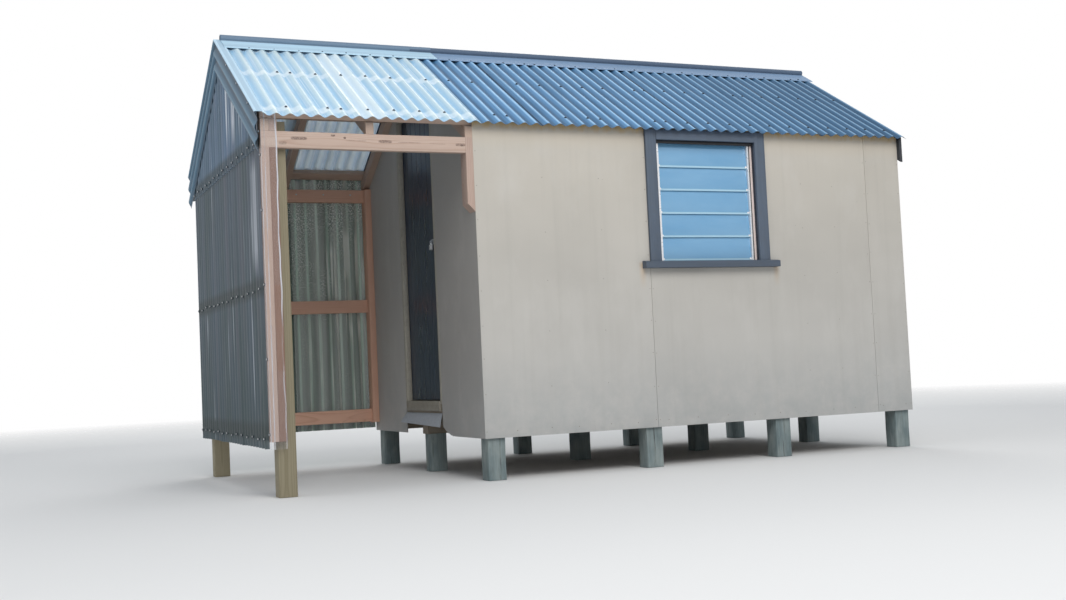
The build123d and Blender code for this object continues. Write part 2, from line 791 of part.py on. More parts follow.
def cap_section(x0, x1, lift):
    """Roll-top ridge capping: a roll over two wings that lie on the crests of the sheets."""
    seat = CREST_HEIGHT + LAP_LIFT + SEAT_GAP + lift
    apex = slope_z(RIDGE_Y, seat)
    wing_y, wing_z = slope_point(SLOPE_LENGTH - CAP_WING, seat)
    step = CAP / SLOPE_COS
    corners = [
        (wing_y, wing_z),
        (RIDGE_Y, apex),
        (HUT_DEPTH - wing_y, wing_z),
        (HUT_DEPTH - wing_y, wing_z + step),
        (RIDGE_Y, apex + step),
        (wing_y, wing_z + step),
    ]
    wings = side_prism(corners, x0, x1)
    turn = Rot(0, 90, 0)
    middle = Pos((x0 + x1) / 2, RIDGE_Y, apex + CAP_ROLL / 3)
    roll = middle * turn * Cylinder(CAP_ROLL, x1 - x0)
    hollow = middle * turn * Cylinder(CAP_ROLL - CAP, 2 * (x1 - x0))
    under = [
        (wing_y, wing_z - CAP_ROLL),
        (wing_y, wing_z + step),
        (RIDGE_Y, apex + step),
        (HUT_DEPTH - wing_y, wing_z + step),
        (HUT_DEPTH - wing_y, wing_z - CAP_ROLL),
    ]
    below = side_prism(under, x0 - CAP_ROLL, x1 + CAP_ROLL)
    return wings - hollow + (roll - hollow - below)


def ridge_caps():
    """Capping of the hut, and of the porch lapping over it."""
    hut = cap_section(CAP_JOINT_X - CAP_LAP, X_HIGH, 0)
    porch = cap_section(END_FACE, CAP_JOINT_X, CAP + 2 * SEAT_GAP)
    return [hut, porch]


# Porch frame

def porch_posts():
    """Treated posts behind the corner studs, down to the ground."""
    x0 = END_FACE + STUD
    post = block(x0, x0 + POST, STUD, STUD + POST, -PILE_DROP, PLATE_TOP + POST_RISE)
    return [post, to_back(post)]


def porch_studs():
    """Corner studs in pairs, the studs on the door wall and the short studs under the eave."""
    x0 = END_FACE
    made = []
    for number in range(2):
        x = x0 + number * (STUD + SEAT_GAP)
        corner = block(x, x + STUD, 0, STUD, STUD_FOOT, RAIL_BOTTOM)
        made += [corner, to_back(corner)]
    x = x0 + STUD + SEAT_GAP
    top = slope_z(STUD, RAFTER_TOP)
    short = [(0, PLATE_TOP), (STUD, PLATE_TOP), (STUD, top), (0, slope_z(0, RAFTER_TOP))]
    short = side_prism(short, x, x + STUD)
    made += [short, to_back(short)]
    full = block(-STUD, 0, HUT_DEPTH - STUD_DEPTH, HUT_DEPTH, STUD_FOOT, PLATE_TOP)
    made.append(full)
    foot = PLATE_TOP - CUT_STUD_LENGTH
    corners = [(-STUD, PLATE_TOP), (-STUD, foot + STUD), (0, foot), (0, PLATE_TOP)]
    face = Plane.XZ * make_face(Polyline(*corners, close=True))
    made.append(extrude(face, -STUD_DEPTH))
    return made


def header_rail():
    """The rail over the open front of the porch."""
    return block(END_FACE, -STUD, 0, STUD, RAIL_BOTTOM, PLATE_TOP)


def porch_back_rails():
    """Three rails of the porch's back wall."""
    x0 = END_FACE + 2 * STUD + SEAT_GAP
    y0 = HUT_DEPTH - STUD
    upper = block(END_FACE, -STUD, y0, HUT_DEPTH, RAIL_BOTTOM, PLATE_TOP)
    made = [upper]
    for top in (MID_RAIL_TOP, BOTTOM_RAIL_TOP):
        made.append(block(x0, -STUD, y0, HUT_DEPTH, top - RAIL_DEPTH, top))
    return made


def porch_end_rails():
    """Three rails of the porch's end wall, between the corner studs."""
    made = []
    for top in (PLATE_TOP, MID_RAIL_TOP, BOTTOM_RAIL_TOP):
        made.append(block(END_FACE, END_FACE + STUD, STUD, HUT_DEPTH - STUD, top - RAIL_DEPTH, top))
    return made


# Porch sheets

def end_plane(z, lift):
    """Section plane on the outer face of the porch's end frame, or lifted off it."""
    x = END_FACE - SEAT_GAP - lift
    return Plane(origin=(x, 0, z), x_dir=(0, 1, 0), z_dir=(0, 0, 1))


def end_cuts():
    """Laps of the end sheets, in corrugations from the front corner."""
    return [0, *END_LAP_COUNTS, ceil(HUT_DEPTH / CORRUGATION)]


def end_sheets():
    """Clear sheets of the end wall and the strips that wrap round its corners."""
    height = END_SHEET_TOP - END_SHEET_BOTTOM
    sheets = lapped(end_plane(END_SHEET_BOTTOM, 0), end_cuts(), height, False)
    clear = WRAP_SIDE + 2 * SEAT_GAP
    sheets = within(
        sheets, X_LOW, END_FACE, clear, HUT_DEPTH - clear, 0, END_SHEET_TOP,
    )
    x0 = END_FACE - SEAT_GAP - SHEET
    y0 = -SEAT_GAP - SHEET
    top = slope_z(y0, -2 * SEAT_GAP)
    side = block(x0, x0 + SHEET, y0, WRAP_SIDE, END_SHEET_BOTTOM, RAIL_BOTTOM)
    front = block(x0, END_FACE + WRAP_FRONT, y0, y0 + SHEET, END_SHEET_BOTTOM, top)
    wrap = side + front
    return sheets + [wrap, to_back(wrap)]


def gable_sheets():
    """Clear sheets of the porch gable, outside the tops of the end sheets."""
    plane = end_plane(GABLE_SHEET_BOTTOM, 2 * LAP_LIFT)
    sheets = lapped(plane, end_cuts(), SLOPE_LENGTH, False)
    outline = under_roof(X_LOW, END_FACE, 0, HUT_DEPTH, 0, CREST_HEIGHT)
    return [sheet & outline for sheet in sheets]


def porch_back_sheets():
    """Clear sheets of the porch's back wall."""
    origin = (0, HUT_DEPTH + SEAT_GAP, END_SHEET_BOTTOM)
    plane = Plane(origin=origin, x_dir=(1, 0, 0), z_dir=(0, 0, 1))
    first = floor(END_FACE / CORRUGATION) - 1
    height = BACK_SHEET_TOP - END_SHEET_BOTTOM
    sheets = lapped(plane, [first, -BACK_LAP_COUNT, 0], height, False)
    x0 = END_FACE + WRAP_FRONT + SEAT_GAP
    return within(sheets, x0, 0, 0, 2 * HUT_DEPTH, 0, BACK_SHEET_TOP)


def barge_strips():
    """Corrugated clear strips outside the gable, along both slopes and plumb cut at the eave.

    The top of each is folded over the last crest of the roof sheets.
    """
    x = END_FACE - END_STACK - SEAT_GAP
    y, z = slope_point(-EAVE_OVERHANG * 2, CREST_HEIGHT + SEAT_GAP + SHEET)
    plane = Plane(
        origin=(x, y, z), x_dir=(0, SLOPE_SIN, -SLOPE_COS), z_dir=(0, SLOPE_COS, SLOPE_SIN)
    )
    last = round(2 * BARGE_CORRUGATIONS)
    inner = x - END_FACE - FOLD_REACH
    fold = Pos(SHEET / 2, (inner + CREST_HEIGHT) / 2, 0) * Rectangle(SHEET, CREST_HEIGHT - inner)
    strip = extrude(plane * (wave(0, last) + fold), SLOPE_LENGTH * 2)
    strip = within([strip], 2 * X_LOW, 0, -EAVE_OVERHANG, RIDGE_Y - PANEL_GAP, 0, 2 * SEAT_HEIGHT)[0]
    return [strip, to_back(strip)]


NODES = {
    "piles": piles,
    "bearers": bearers,
    "floor_joists": floor_joists,
    "floor": floor_deck,
    "front_wall": front_wall,
    "back_wall": back_wall,
    "far_gable_wall": far_gable_wall,
    "door_wall_front": door_wall_front,
    "door_wall_back": door_wall_back,
    "door_wall_head": door_wall_head,
    "front_cladding": front_cladding,
    "back_cladding": back_cladding,
    "far_gable_cladding": far_gable_cladding,
    "door_wall_cladding": door_wall_cladding,
    "window_casing": window_casing,
    "window_frame": window_frame,
    "window_sill": window_sill,
    "louvre_channels": louvre_channels,
    "louvre_blades": louvre_blades,
    "door_frame": door_frame,
    "door_threshold": door_threshold,
    "threshold_flap": threshold_flap,
    "rafters": rafter_pairs,
    "ridge_boards": ridge_boards,
    "hut_purlins": hut_purlins,
    "porch_purlins": porch_purlins,
    "far_barge_boards": far_barge_boards,
    "front_roof_sheets": front_roof_sheets,
    "back_roof_sheets": back_roof_sheets,
    "porch_roof_sheets": porch_roof_sheets,
    "ridge_caps": ridge_caps,
    "porch_posts": porch_posts,
    "porch_studs": porch_studs,
    "header_rail": header_rail,
    "porch_back_rails": porch_back_rails,
    "porch_end_rails": porch_end_rails,
    "end_sheets": end_sheets,
    "gable_sheets": gable_sheets,
    "porch_back_sheets": porch_back_sheets,
    "barge_strips": barge_strips,
    "door_leaf": door_leaf,
    "door_ledges": door_ledges,
    "door_hinges": door_hinges,
    "door_latch": door_latch,
    "hinge_plates": hinge_plates,
}


def main():
    os.makedirs("parts", exist_ok=True)
    home = Pos(-(X_LOW + X_HIGH) / 2, -RIDGE_Y, PILE_DROP)
    for name, make in NODES.items():
        made = make()
        pieces = made if isinstance(made, list) else [made]
        solids = []
        for piece in pieces:
            solids += (home * piece).solids()
        shape = solids[0] if len(solids) == 1 else Compound(children=solids)
        export_step(shape, f"parts/{name}.step")


main()
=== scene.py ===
import math
from functools import partial, reduce

import bmesh
import bpy
import numpy as np
from mathutils import Matrix, Vector


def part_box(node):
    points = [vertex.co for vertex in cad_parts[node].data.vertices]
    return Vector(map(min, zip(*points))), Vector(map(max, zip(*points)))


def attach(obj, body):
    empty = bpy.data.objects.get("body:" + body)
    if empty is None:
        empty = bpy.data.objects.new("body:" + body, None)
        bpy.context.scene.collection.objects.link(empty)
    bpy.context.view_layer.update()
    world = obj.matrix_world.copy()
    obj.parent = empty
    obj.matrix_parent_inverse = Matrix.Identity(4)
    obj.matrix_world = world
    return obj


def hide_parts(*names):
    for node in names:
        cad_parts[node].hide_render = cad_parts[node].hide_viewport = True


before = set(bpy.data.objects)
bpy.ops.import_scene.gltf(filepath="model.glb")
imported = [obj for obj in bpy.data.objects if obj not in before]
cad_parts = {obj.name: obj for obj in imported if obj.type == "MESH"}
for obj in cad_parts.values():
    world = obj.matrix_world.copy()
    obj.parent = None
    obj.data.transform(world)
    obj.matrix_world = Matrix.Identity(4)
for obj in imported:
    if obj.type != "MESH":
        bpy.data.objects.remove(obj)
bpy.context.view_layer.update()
rng = np.random.default_rng(11)

# Camera, from the photograph
eye = Vector((-3.5900, -7.8789, 0.6196))
yaw, pitch, roll = (math.radians(angle) for angle in (23.8449, 3.1072, -2.6613))
ahead = Vector((math.sin(yaw) * math.cos(pitch), math.cos(yaw) * math.cos(pitch), math.sin(pitch)))
level = Vector((math.cos(yaw), -math.sin(yaw), 0))
rise = level.cross(ahead)
side = math.cos(roll) * level + math.sin(roll) * rise
upward = -math.sin(roll) * level + math.cos(roll) * rise
lens = bpy.data.cameras.new("camera")
lens.lens = 43.34
lens.sensor_width = 36
camera = bpy.data.objects.new("camera", lens)
bpy.context.scene.collection.objects.link(camera)
camera.matrix_world = Matrix.Translation(eye) @ Matrix((side, upward, -ahead)).transposed().to_4x4()
bpy.context.scene.camera = camera

# Setting-out of the hut, in metres: X from the door wall's face, Y from the front wall's face,
# Z from the bottom of the cladding. HOME is that corner in the row frame.
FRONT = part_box("front_cladding")
HOME = Vector((FRONT[0].x, FRONT[0].y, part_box("piles")[1].z))
HUT_LENGTH = FRONT[1].x - HOME.x
HUT_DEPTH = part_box("back_cladding")[1].y - HOME.y
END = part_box("porch_purlins")[0].x - HOME.x
GROUND = -HOME.z
CLADDING = 0.006
WALL = 0.090
BEARER_TOP, JOIST_TOP, FLOOR_TOP = 0.075, 0.175, 0.195

# Roof: the sheets' seat is SEAT high over the front wall's face
PITCH = math.radians(31)
SIN, COS, TAN = math.sin(PITCH), math.cos(PITCH), math.tan(PITCH)
SEAT = 1.832
RIDGE_Y = HUT_DEPTH / 2
SLOPE = RIDGE_Y / COS
EAVE = 0.056
VERGE = 0.038
RIDGE_GAP = 0.030
RIDGE_BOARD = 0.020
MID_PURLIN = 0.617
RIDGE_PURLIN = SLOPE - 0.155
PURLIN, PURLIN_WIDTH = 0.035, 0.070
BARGE_DEPTH = 0.140

# Corrugated sheets; a cut is the number of the crest where one sheet ends and the next starts
CORR, DEPTH, SHEET = 0.0762, 0.017, 0.001
CREST = DEPTH + SHEET
LIFT = 0.002
GAP = 0.0003
STEPS = 12
STEEL_CUTS = (0, 6, 13, 20, 26, 32, 41)
CLEAR_CUTS = (-17, -8, 0)
CLEAR_REACH = 2
END_CUTS = (0, 9, 18, 29)
BACK_CUTS = CLEAR_CUTS
SHEET_FOOT = 0.020

# Timber
RAFTER_TOP = -GAP - PURLIN
RAFTER_LOW = RAFTER_TOP - 0.070
STUD = 0.045
RAIL = 0.090
POST = 0.100
PLATE = SEAT - 0.104
RAIL_TOPS = (PLATE, 0.935, 0.155)
FRAME_FOOT = 0.060

# Window and doorway
WINDOW_LEFT, WINDOW_RIGHT, WINDOW_LOW, WINDOW_HIGH = 1.195, 1.905, 1.005, 1.750
LINING = 0.020
CASING, CASING_WIDTH, CASING_HEAD = 0.020, 0.075, 0.065
BLADE_HEIGHT, BLADE, BLADE_COUNT = 0.160, 0.0055, 5
NEAR_JAMB, FAR_JAMB, DOOR_HEAD, JAMB = 0.732, 1.402, 2.0841, 0.020


def slope_z(y, height=0.0):
    """Height of the front slope over y, for a line parallel to the sheets' seat."""
    return SEAT + TAN * y + height / COS


def roof_z(y, height=0.0):
    """The same for either slope."""
    return slope_z(min(y, HUT_DEPTH - y), height)


def on_slope(across, height, run, back=False):
    """A point of the roof: across is X, height is square to the slope, and run is the way up it
    from the wall's face."""
    y = run * COS - height * SIN
    z = SEAT + run * SIN + height * COS
    return np.stack(np.broadcast_arrays(across, HUT_DEPTH - y if back else y, z), -1)


# Meshes

class Batch:
    """Collects surfaces with their grain coordinates and tones, to be joined in one mesh."""

    def __init__(self):
        self.points, self.faces, self.grain, self.tone = [], [], [], []

    def add(self, points, faces, grain=None, tone=0.5):
        points = np.asarray(points, float).reshape(-1, 3)
        start = len(self.points)
        self.points.extend(map(tuple, points + np.array(HOME)))
        self.faces.extend(tuple(start + corner for corner in face) for face in faces)
        grain = points if grain is None else np.asarray(grain, float).reshape(-1, 3)
        self.grain.extend(map(tuple, grain))
        self.tone.extend(np.broadcast_to(np.asarray(tone, float).reshape(-1), (len(points),)).tolist())

    def build(self, name, material, slot, node=None, body="hut", sharp=35):
        """Makes the piece, which stands for the node. The slot is not used."""
        mesh = bpy.data.meshes.new(name)
        mesh.from_pydata(self.points, [], self.faces)
        mesh.validate()
        grain = mesh.attributes.new("grain", "FLOAT_VECTOR", "POINT")
        grain.data.foreach_set("vector", np.asarray(self.grain, np.float32).ravel())
        tone = mesh.attributes.new("tone", "FLOAT", "POINT")
        tone.data.foreach_set("value", np.asarray(self.tone, np.float32))
        fix = bmesh.new()
        fix.from_mesh(mesh)
        bmesh.ops.recalc_face_normals(fix, faces=fix.faces)
        fix.to_mesh(mesh)
        fix.free()
        mesh.shade_smooth()
        mesh.set_sharp_from_angle(angle=math.radians(sharp))
        mesh.materials.append(material)
        piece = bpy.data.objects.new(name, mesh)
        bpy.context.scene.collection.objects.link(piece)
        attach(piece, body)
        if node:
            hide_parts(node)


def shell_faces(columns, rows):
    """Faces of a closed skin made of two grids, the second behind the first."""
    back = columns * rows
    grid = np.arange(back).reshape(columns, rows).tolist()
    faces = []
    for here, there in zip(grid, grid[1:]):
        for row in range(rows - 1):
            quad = (here[row], there[row], there[row + 1], here[row + 1])
            faces.append(quad)
            faces.append(tuple(back + corner for corner in reversed(quad)))
    edge = [line[0] for line in grid] + grid[-1][1:]
    edge += [line[-1] for line in reversed(grid[:-1])] + grid[0][-2:0:-1]
    for here, there in zip(edge, edge[1:] + edge[:1]):
        faces.append((here, back + here, back + there, there))
    return faces


def ring_faces(rings, sides):
    """Faces round a stack of rings with so many points each, and over its two ends."""
    faces = []
    for first in range(0, (rings - 1) * sides, sides):
        for here in range(sides):
            there = (here + 1) % sides
            faces.append((first + here, first + there, first + sides + there, first + sides + here))
    return faces + [tuple(range(sides))[::-1], tuple(range((rings - 1) * sides, rings * sides))]


def wave_section(first, last, lifted, low, high):
    """Across, height, lean and crest of a corrugated sheet, between two half corrugations by
    number and two places where it is cut."""
    start, end = max(first * CORR / 2, low), min(last * CORR / 2, high)
    across = np.linspace(start, end, max(2, round((end - start) / CORR * STEPS) + 1))
    phase = across / CORR * 2 * math.pi
    crest = (1 + np.cos(phase)) / 2
    lean = np.arctan(math.pi * DEPTH / CORR * np.sin(phase))
    return across, DEPTH * crest + SHEET / 2 + LIFT * lifted, lean, crest


def wobble(a, b, size, seed):
    """A smooth small unevenness over two coordinates."""
    wave = np.sin(a * 3.1 + seed) * np.cos(b * 2.3 + seed * 1.7)
    wave = wave + 0.6 * np.sin(a * 7.3 + b * 3.9 + seed * 2.3)
    return size * (wave + 0.35 * np.sin(a * 13.1 - b * 9.7 + seed))


def wave_sheet(batch, section, along, mapping, seed, bow=0.0003, edge=0.0):
    """A corrugated sheet: mapping takes across, height and along to a point, bow is its
    unevenness, and edge is taken from the tone at its two long edges."""
    columns, rows = len(section[0]), along.shape[-1]
    along = np.broadcast_to(along, (columns, rows))
    across, up, lean, crest = (values[:, None] + 0 * along for values in section)
    up = up + np.maximum(wobble(along, across * 1.2, bow, seed), 0)
    points = []
    for side in (SHEET / 2, -SHEET / 2):
        points.append(mapping(across + side * np.sin(lean), up + side * np.cos(lean), along))
    # The edge shifts the tone at the two long edges: a painted lap shadow on steel, a painted highlight on clear sheets
    crest[[0, -1]] -= edge
    grain = np.stack([across, along, 0 * along + seed], -1)
    batch.add(points, shell_faces(columns, rows), [grain, grain], [crest, crest])


def lapped_sheets(batch, cuts, low, high, along, mapping, seed, reach=1, edge=0.0):
    """A row of corrugated sheets, every second one lifted onto its neighbours. Along may be a
    function of the places across and the sheet's number."""
    for number, (a, b) in enumerate(zip(cuts, cuts[1:])):
        section = wave_section(2 * a - reach, 2 * b + reach, number % 2, low, high)
        lines = along(section[0], number) if callable(along) else along
        wave_sheet(batch, section, lines, mapping, seed + number, edge=edge)


# Materials

class Shade:
    """A material and short ways to make its nodes."""

    SOCKETS = {"color": "Base Color", "rough": "Roughness", "metal": "Metallic", "coat": "Coat Weight",
               "coat_rough": "Coat Roughness", "specular": "Specular IOR Level", "alpha": "Alpha",
               "normal": "Normal"}

    def __init__(self, name):
        self.material = bpy.data.materials.new(name)
        self.material.use_nodes = True
        self.tree = self.material.node_tree

    def put(self, socket, value):
        if isinstance(value, bpy.types.NodeSocket):
            self.tree.links.new(value, socket)
        else:
            socket.default_value = (*value, 1.0) if socket.type == "RGBA" else value

    def node(self, kind, inputs, **settings):
        made = self.tree.nodes.new("ShaderNode" + kind)
        for key, value in settings.items():
            setattr(made, key, value)
        for key, value in inputs.items():
            self.put(made.inputs[key], value)
        return made

    def set(self, **values):
        for key, value in values.items():
            self.put(self.tree.nodes["Principled BSDF"].inputs[self.SOCKETS[key]], value)
        return self.material

    def grain(self):
        return self.node("Attribute", {}, attribute_name="grain").outputs["Vector"]

    def tone(self):
        return self.node("Attribute", {}, attribute_name="tone").outputs["Fac"]

    def place(self):
        return self.node("TexCoord", {}).outputs["Object"]

    def scaled(self, vector, scale, shift=(0, 0, 0)):
        return self.node("Mapping", {"Vector": vector, "Scale": scale, "Location": shift}).outputs["Vector"]

    def noise(self, vector, scale, detail=4.0, rough=0.5, shift=(0, 0, 0)):
        inputs = {"Vector": self.scaled(vector, scale, shift), "Scale": 1.0, "Detail": detail, "Roughness": rough}
        return self.node("TexNoise", inputs).outputs["Fac"]

    def steps(self, value, stops):
        """A grey that follows the value from stop to stop, each a place and a brightness."""
        made = self.node("ValToRGB", {"Fac": value})
        elements = made.color_ramp.elements
        while len(elements) < len(stops):
            elements.new(0.5)
        for element, (where, grey) in zip(elements, stops):
            element.position = where
            element.color = (grey, grey, grey, 1.0)
        return made.outputs["Color"]

    def level(self, value, low, high, to_low=0.0, to_high=1.0):
        inputs = {"Value": value, "From Min": low, "From Max": high, "To Min": to_low, "To Max": to_high}
        return self.node("MapRange", inputs).outputs["Result"]

    def band(self, value, *edges):
        """1 between the inner two of four edges, 0 past the outer two."""
        return self.times(self.level(value, *edges[:2]), self.level(value, *edges[2:], 1.0, 0.0))

    def math(self, operation, *values):
        return self.node("Math", dict(enumerate(values)), operation=operation).outputs["Value"]

    def times(self, *values):
        return reduce(partial(self.math, "MULTIPLY"), values)

    def plus(self, *values):
        return reduce(partial(self.math, "ADD"), values)

    def most(self, *values):
        return reduce(partial(self.math, "MAXIMUM"), values)

    def vector(self, operation, output, *values):
        return self.node("VectorMath", dict(enumerate(values)), operation=operation).outputs[output]

    def mix(self, factor, a, b, blend="MIX"):
        inputs = {"Factor": factor, 6: a, 7: b}
        return self.node("Mix", inputs, data_type="RGBA", blend_type=blend).outputs[2]

    def over(self, base, color, value, low, high, least=0.0, most=1.0):
        """The base with a colour over it, from least to most as the value goes from low to high."""
        return self.mix(self.level(value, low, high, least, most), base, color)

    def shaded(self, base, shade):
        return self.mix(1.0, base, self.joined(shade, shade, shade), "MULTIPLY")

    def parts(self, vector):
        return self.node("SeparateXYZ", {"Vector": vector}).outputs

    def joined(self, x, y, z):
        return self.node("CombineXYZ", {"X": x, "Y": y, "Z": z}).outputs["Vector"]

    def eased(self, way, share):
        """The surface's normal, turned part of the way to that of the sheet as a whole. Light that
        scatters in clear plastic softens its corrugations like this."""
        normal = self.node("NewGeometry", {}).outputs["Normal"]
        facing = self.math("SIGN", self.vector("DOT_PRODUCT", "Value", normal, way))
        scale = self.times(facing, share / (1 - share))
        turned = self.node("VectorMath", {0: way, "Scale": scale}, operation="SCALE").outputs["Vector"]
        return self.vector("NORMALIZE", "Vector", self.vector("ADD", "Vector", normal, turned))

    def facing(self, **inputs):
        return self.node("LayerWeight", {"Blend": 0.35, **inputs}).outputs["Facing"]

    def bump(self, height, strength, distance, **inputs):
        inputs |= {"Height": height, "Strength": strength, "Distance": distance}
        return self.node("Bump", inputs).outputs["Normal"]


def darker(color, share):
    return tuple(share * value for value in color)


def wood(name, early, late, knot, contrast=0.9, weather=0.0, rough=0.62, marks=()):
    """Sawn timber: growth rings round a pith beside the board, fibre streaks and knots. Marks are
    dark smudges, each a middle along and up, half its length and height, and its strength."""
    s = Shade(name)
    grain = s.grain()
    _, wide, deep = s.parts(grain)
    drift = s.math("MULTIPLY_ADD", s.noise(grain, (1.3, 6.0, 6.0), 2.0), 0.030, -0.015)
    knots = s.node("TexVoronoi", {"Vector": s.scaled(grain, (2.4, 7.0, 7.0)), "Scale": 1.0}).outputs
    away = knots["Distance"]
    pull = s.level(away, 0.06, 0.30, 0.012, 0.0)
    bent = s.joined(s.plus(wide, drift, pull), s.math("SUBTRACT", s.plus(deep, drift), pull), 0.0)
    ring = s.math("FRACT", s.math("DIVIDE", s.vector("LENGTH", "Value", bent), 0.0055))
    rings = s.steps(ring, ((0.0, 0.0), (0.55, 0.25), (0.86, 1.0), (1.0, 0.0)))
    fibre = s.noise(grain, (9.0, 420.0, 420.0), 3.0, 0.6)
    patch = s.noise(grain, (1.1, 9.0, 9.0), 3.0)
    color = s.mix(s.times(rings, s.level(patch, 0.3, 0.75, 0.35 * contrast, contrast)), early, late)
    color = s.over(color, late, fibre, 0.35, 0.75, 0.0, 0.28)
    color = s.shaded(color, s.level(s.tone(), 0.0, 1.0, 0.80, 1.16))
    chosen = s.math("GREATER_THAN", s.parts(knots["Color"])[0], 0.55)
    color = s.mix(s.times(s.level(away, 0.035, 0.075, 0.85, 0.0), chosen), color, knot)
    if marks:
        x, _, z = s.parts(s.place())
        broken = s.level(s.noise(s.place(), (160.0, 160.0, 160.0), 3.0, 0.6), 0.36, 0.56, 0.35, 1.0)
    for at_x, at_z, half_x, half_z, strength in marks:
        off = 0.0
        for value, middle, half in ((x, HOME.x + at_x, half_x), (z, HOME.z + at_z, half_z)):
            share = s.math("DIVIDE", s.math("SUBTRACT", value, middle), half)
            off = s.plus(off, s.math("POWER", s.math("ABSOLUTE", share), 4.0))
        color = s.mix(s.times(s.level(off, 0.6, 1.2, strength, 0.0), broken), color, knot)
    if weather:
        grey = s.noise(grain, (2.2, 60.0, 60.0), 5.0, 0.65)
        color = s.over(color, (0.30, 0.30, 0.28), grey, 0.35, 0.70, 0.0, weather)
        crack = s.noise(grain, (3.0, 190.0, 190.0), 3.0, 0.7)
        color = s.over(color, (0.05, 0.045, 0.04), crack, 0.62, 0.72, 0.0, weather)
    return s.set(color=color, rough=s.level(fibre, 0.2, 0.8, rough - 0.08, rough + 0.14), specular=0.35,
                 normal=s.bump(s.plus(s.times(rings, 0.5), fibre), 0.35, 0.0012))


def paint(name, color, dirt, chip=None):
    """Brushed paint on timber, worn at its edges and with a little dirt."""
    s = Shade(name)
    grain = s.grain()
    cloud = s.noise(grain, (3.0, 7.0, 7.0))
    base = s.over(color, darker(color, 0.78), cloud, 0.3, 0.7, 0.0, 0.55)
    strokes = s.noise(grain, (3.0, 90.0, 90.0), 3.0)
    pale = tuple(min(1.0, value * 1.35 + 0.02) for value in color)
    base = s.over(base, pale, strokes, 0.4, 0.8, 0.0, 0.30)
    base = s.shaded(base, s.level(s.tone(), 0.0, 1.0, 0.84, 1.16))
    if chip:
        base = s.over(base, chip, s.noise(grain, (14.0, 60.0, 60.0), 5.0, 0.7), 0.70, 0.74, 0.0, 0.8)
    grime = s.noise(grain, (30.0, 30.0, 30.0), 5.0, 0.65)
    base = s.over(base, (0.10, 0.10, 0.08), grime, 0.45, 0.85, 0.0, dirt)
    return s.set(color=base, rough=s.level(cloud, 0.2, 0.8, 0.42, 0.62), specular=0.4,
                 normal=s.bump(strokes, 0.25, 0.0008))


def wall_paint(name, cool, warm, eave_shade=1.0, drips=0.0, algae=0.0, marks=()):
    """Aged pale wall paint, warmer toward the eave: clouds, faint runs down the sheet, an ochre
    band under the eave that is painted shade with warm bounced light, and splashes at the foot.
    The grain vector holds the distance along, the height, and the distance below the top edge.
    Marks are the tops of soft rusty runs."""
    s = Shade(name)
    along, height, below = s.parts(s.grain())
    flat = s.joined(along, height, 0.0)
    cloud = s.noise(flat, (1.1, 1.5, 1.0))
    base = s.over(cool, warm, height, 0.1, 1.6)
    # The tone scales a sheet's brightness; on the door wall's near sheet it darkens it as painted shade
    base = s.shaded(base, s.times(s.level(cloud, 0.3, 0.72, 1.02, 0.90), s.level(s.tone(), 0.0, 1.0, 0.70, 1.30)))
    base = s.over(base, (0.38, 0.365, 0.33), s.noise(flat, (16.0, 0.55, 1.0), 4.0, 0.6), 0.50, 0.80, 0.0, 0.22)
    base = s.over(base, (0.62, 0.60, 0.57), s.noise(flat, (5.0, 2.2, 1.0), 5.0, 0.6), 0.52, 0.75, 0.0, 0.25)
    ragged = s.math("MULTIPLY_ADD", s.noise(flat, (30.0, 6.0, 1.0), 4.0, 0.6), -0.060, 0.030)
    # Ochre band under the eave and its soft fade: painted shade with warm bounced light
    base = s.over(base, (0.56, 0.37, 0.145), s.plus(below, ragged), 0.018, 0.050, 0.95 * eave_shade, 0.0)
    base = s.over(base, (0.60, 0.47, 0.31), below, 0.03, 0.17, 0.32 * eave_shade, 0.0)
    for mark, top in marks:
        off = s.math("ABSOLUTE", s.math("SUBTRACT", along, mark))
        fall = s.band(height, top - 0.15, top, top, top + 0.02)
        base = s.mix(s.times(s.level(off, 0.004, 0.028, 0.55, 0.0), fall), base, (0.52, 0.35, 0.19))
    splash = s.level(s.noise(flat, (9.0, 9.0, 1.0), 5.0, 0.65), 0.3, 0.75, 0.04, 0.50)
    base = s.mix(s.times(s.level(height, 0.0, 0.50, 1.0, 0.0), splash), base, (0.27, 0.30, 0.31))
    if algae:
        bloom = s.noise(flat, (3.2, 7.0, 1.0), 6.0, 0.7, (5.0, 1.0, 0.0))
        grown = s.times(s.level(height, 0.05, 0.95, 1.0, 0.0), s.level(bloom, 0.42, 0.68, 0.0, algae))
        base = s.mix(grown, base, (0.150, 0.175, 0.095))
    if drips:
        cells = s.scaled(flat, (4.2, 1.7, 1.0))
        heads = s.node("TexVoronoi", {"Vector": cells, "Scale": 1.0, "Randomness": 0.9},
                       voronoi_dimensions="2D").outputs
        off, fallen, _ = s.parts(s.vector("SUBTRACT", "Vector", cells, heads["Position"]))
        narrow = s.level(s.math("ABSOLUTE", off), 0.004, 0.022, drips, 0.0)
        chosen = s.math("GREATER_THAN", s.parts(heads["Color"])[0], 0.35)
        run = s.times(narrow, s.band(fallen, -0.42, 0.0, 0.0, 0.006), chosen)
        base = s.mix(run, base, (0.27, 0.185, 0.105))
    specks = s.noise(flat, (38.0, 38.0, 1.0), 2.0, 0.5, (3.1, 7.7, 0.0))
    base = s.over(base, (0.22, 0.21, 0.19), specks, 0.765, 0.80, 0.0, 0.45)
    uneven = s.plus(s.noise(flat, (260.0, 260.0, 1.0), 3.0), s.times(cloud, 2.0))
    return s.set(color=base, rough=s.level(cloud, 0.2, 0.8, 0.55, 0.70), specular=0.3,
                 normal=s.bump(uneven, 0.12, 0.001))


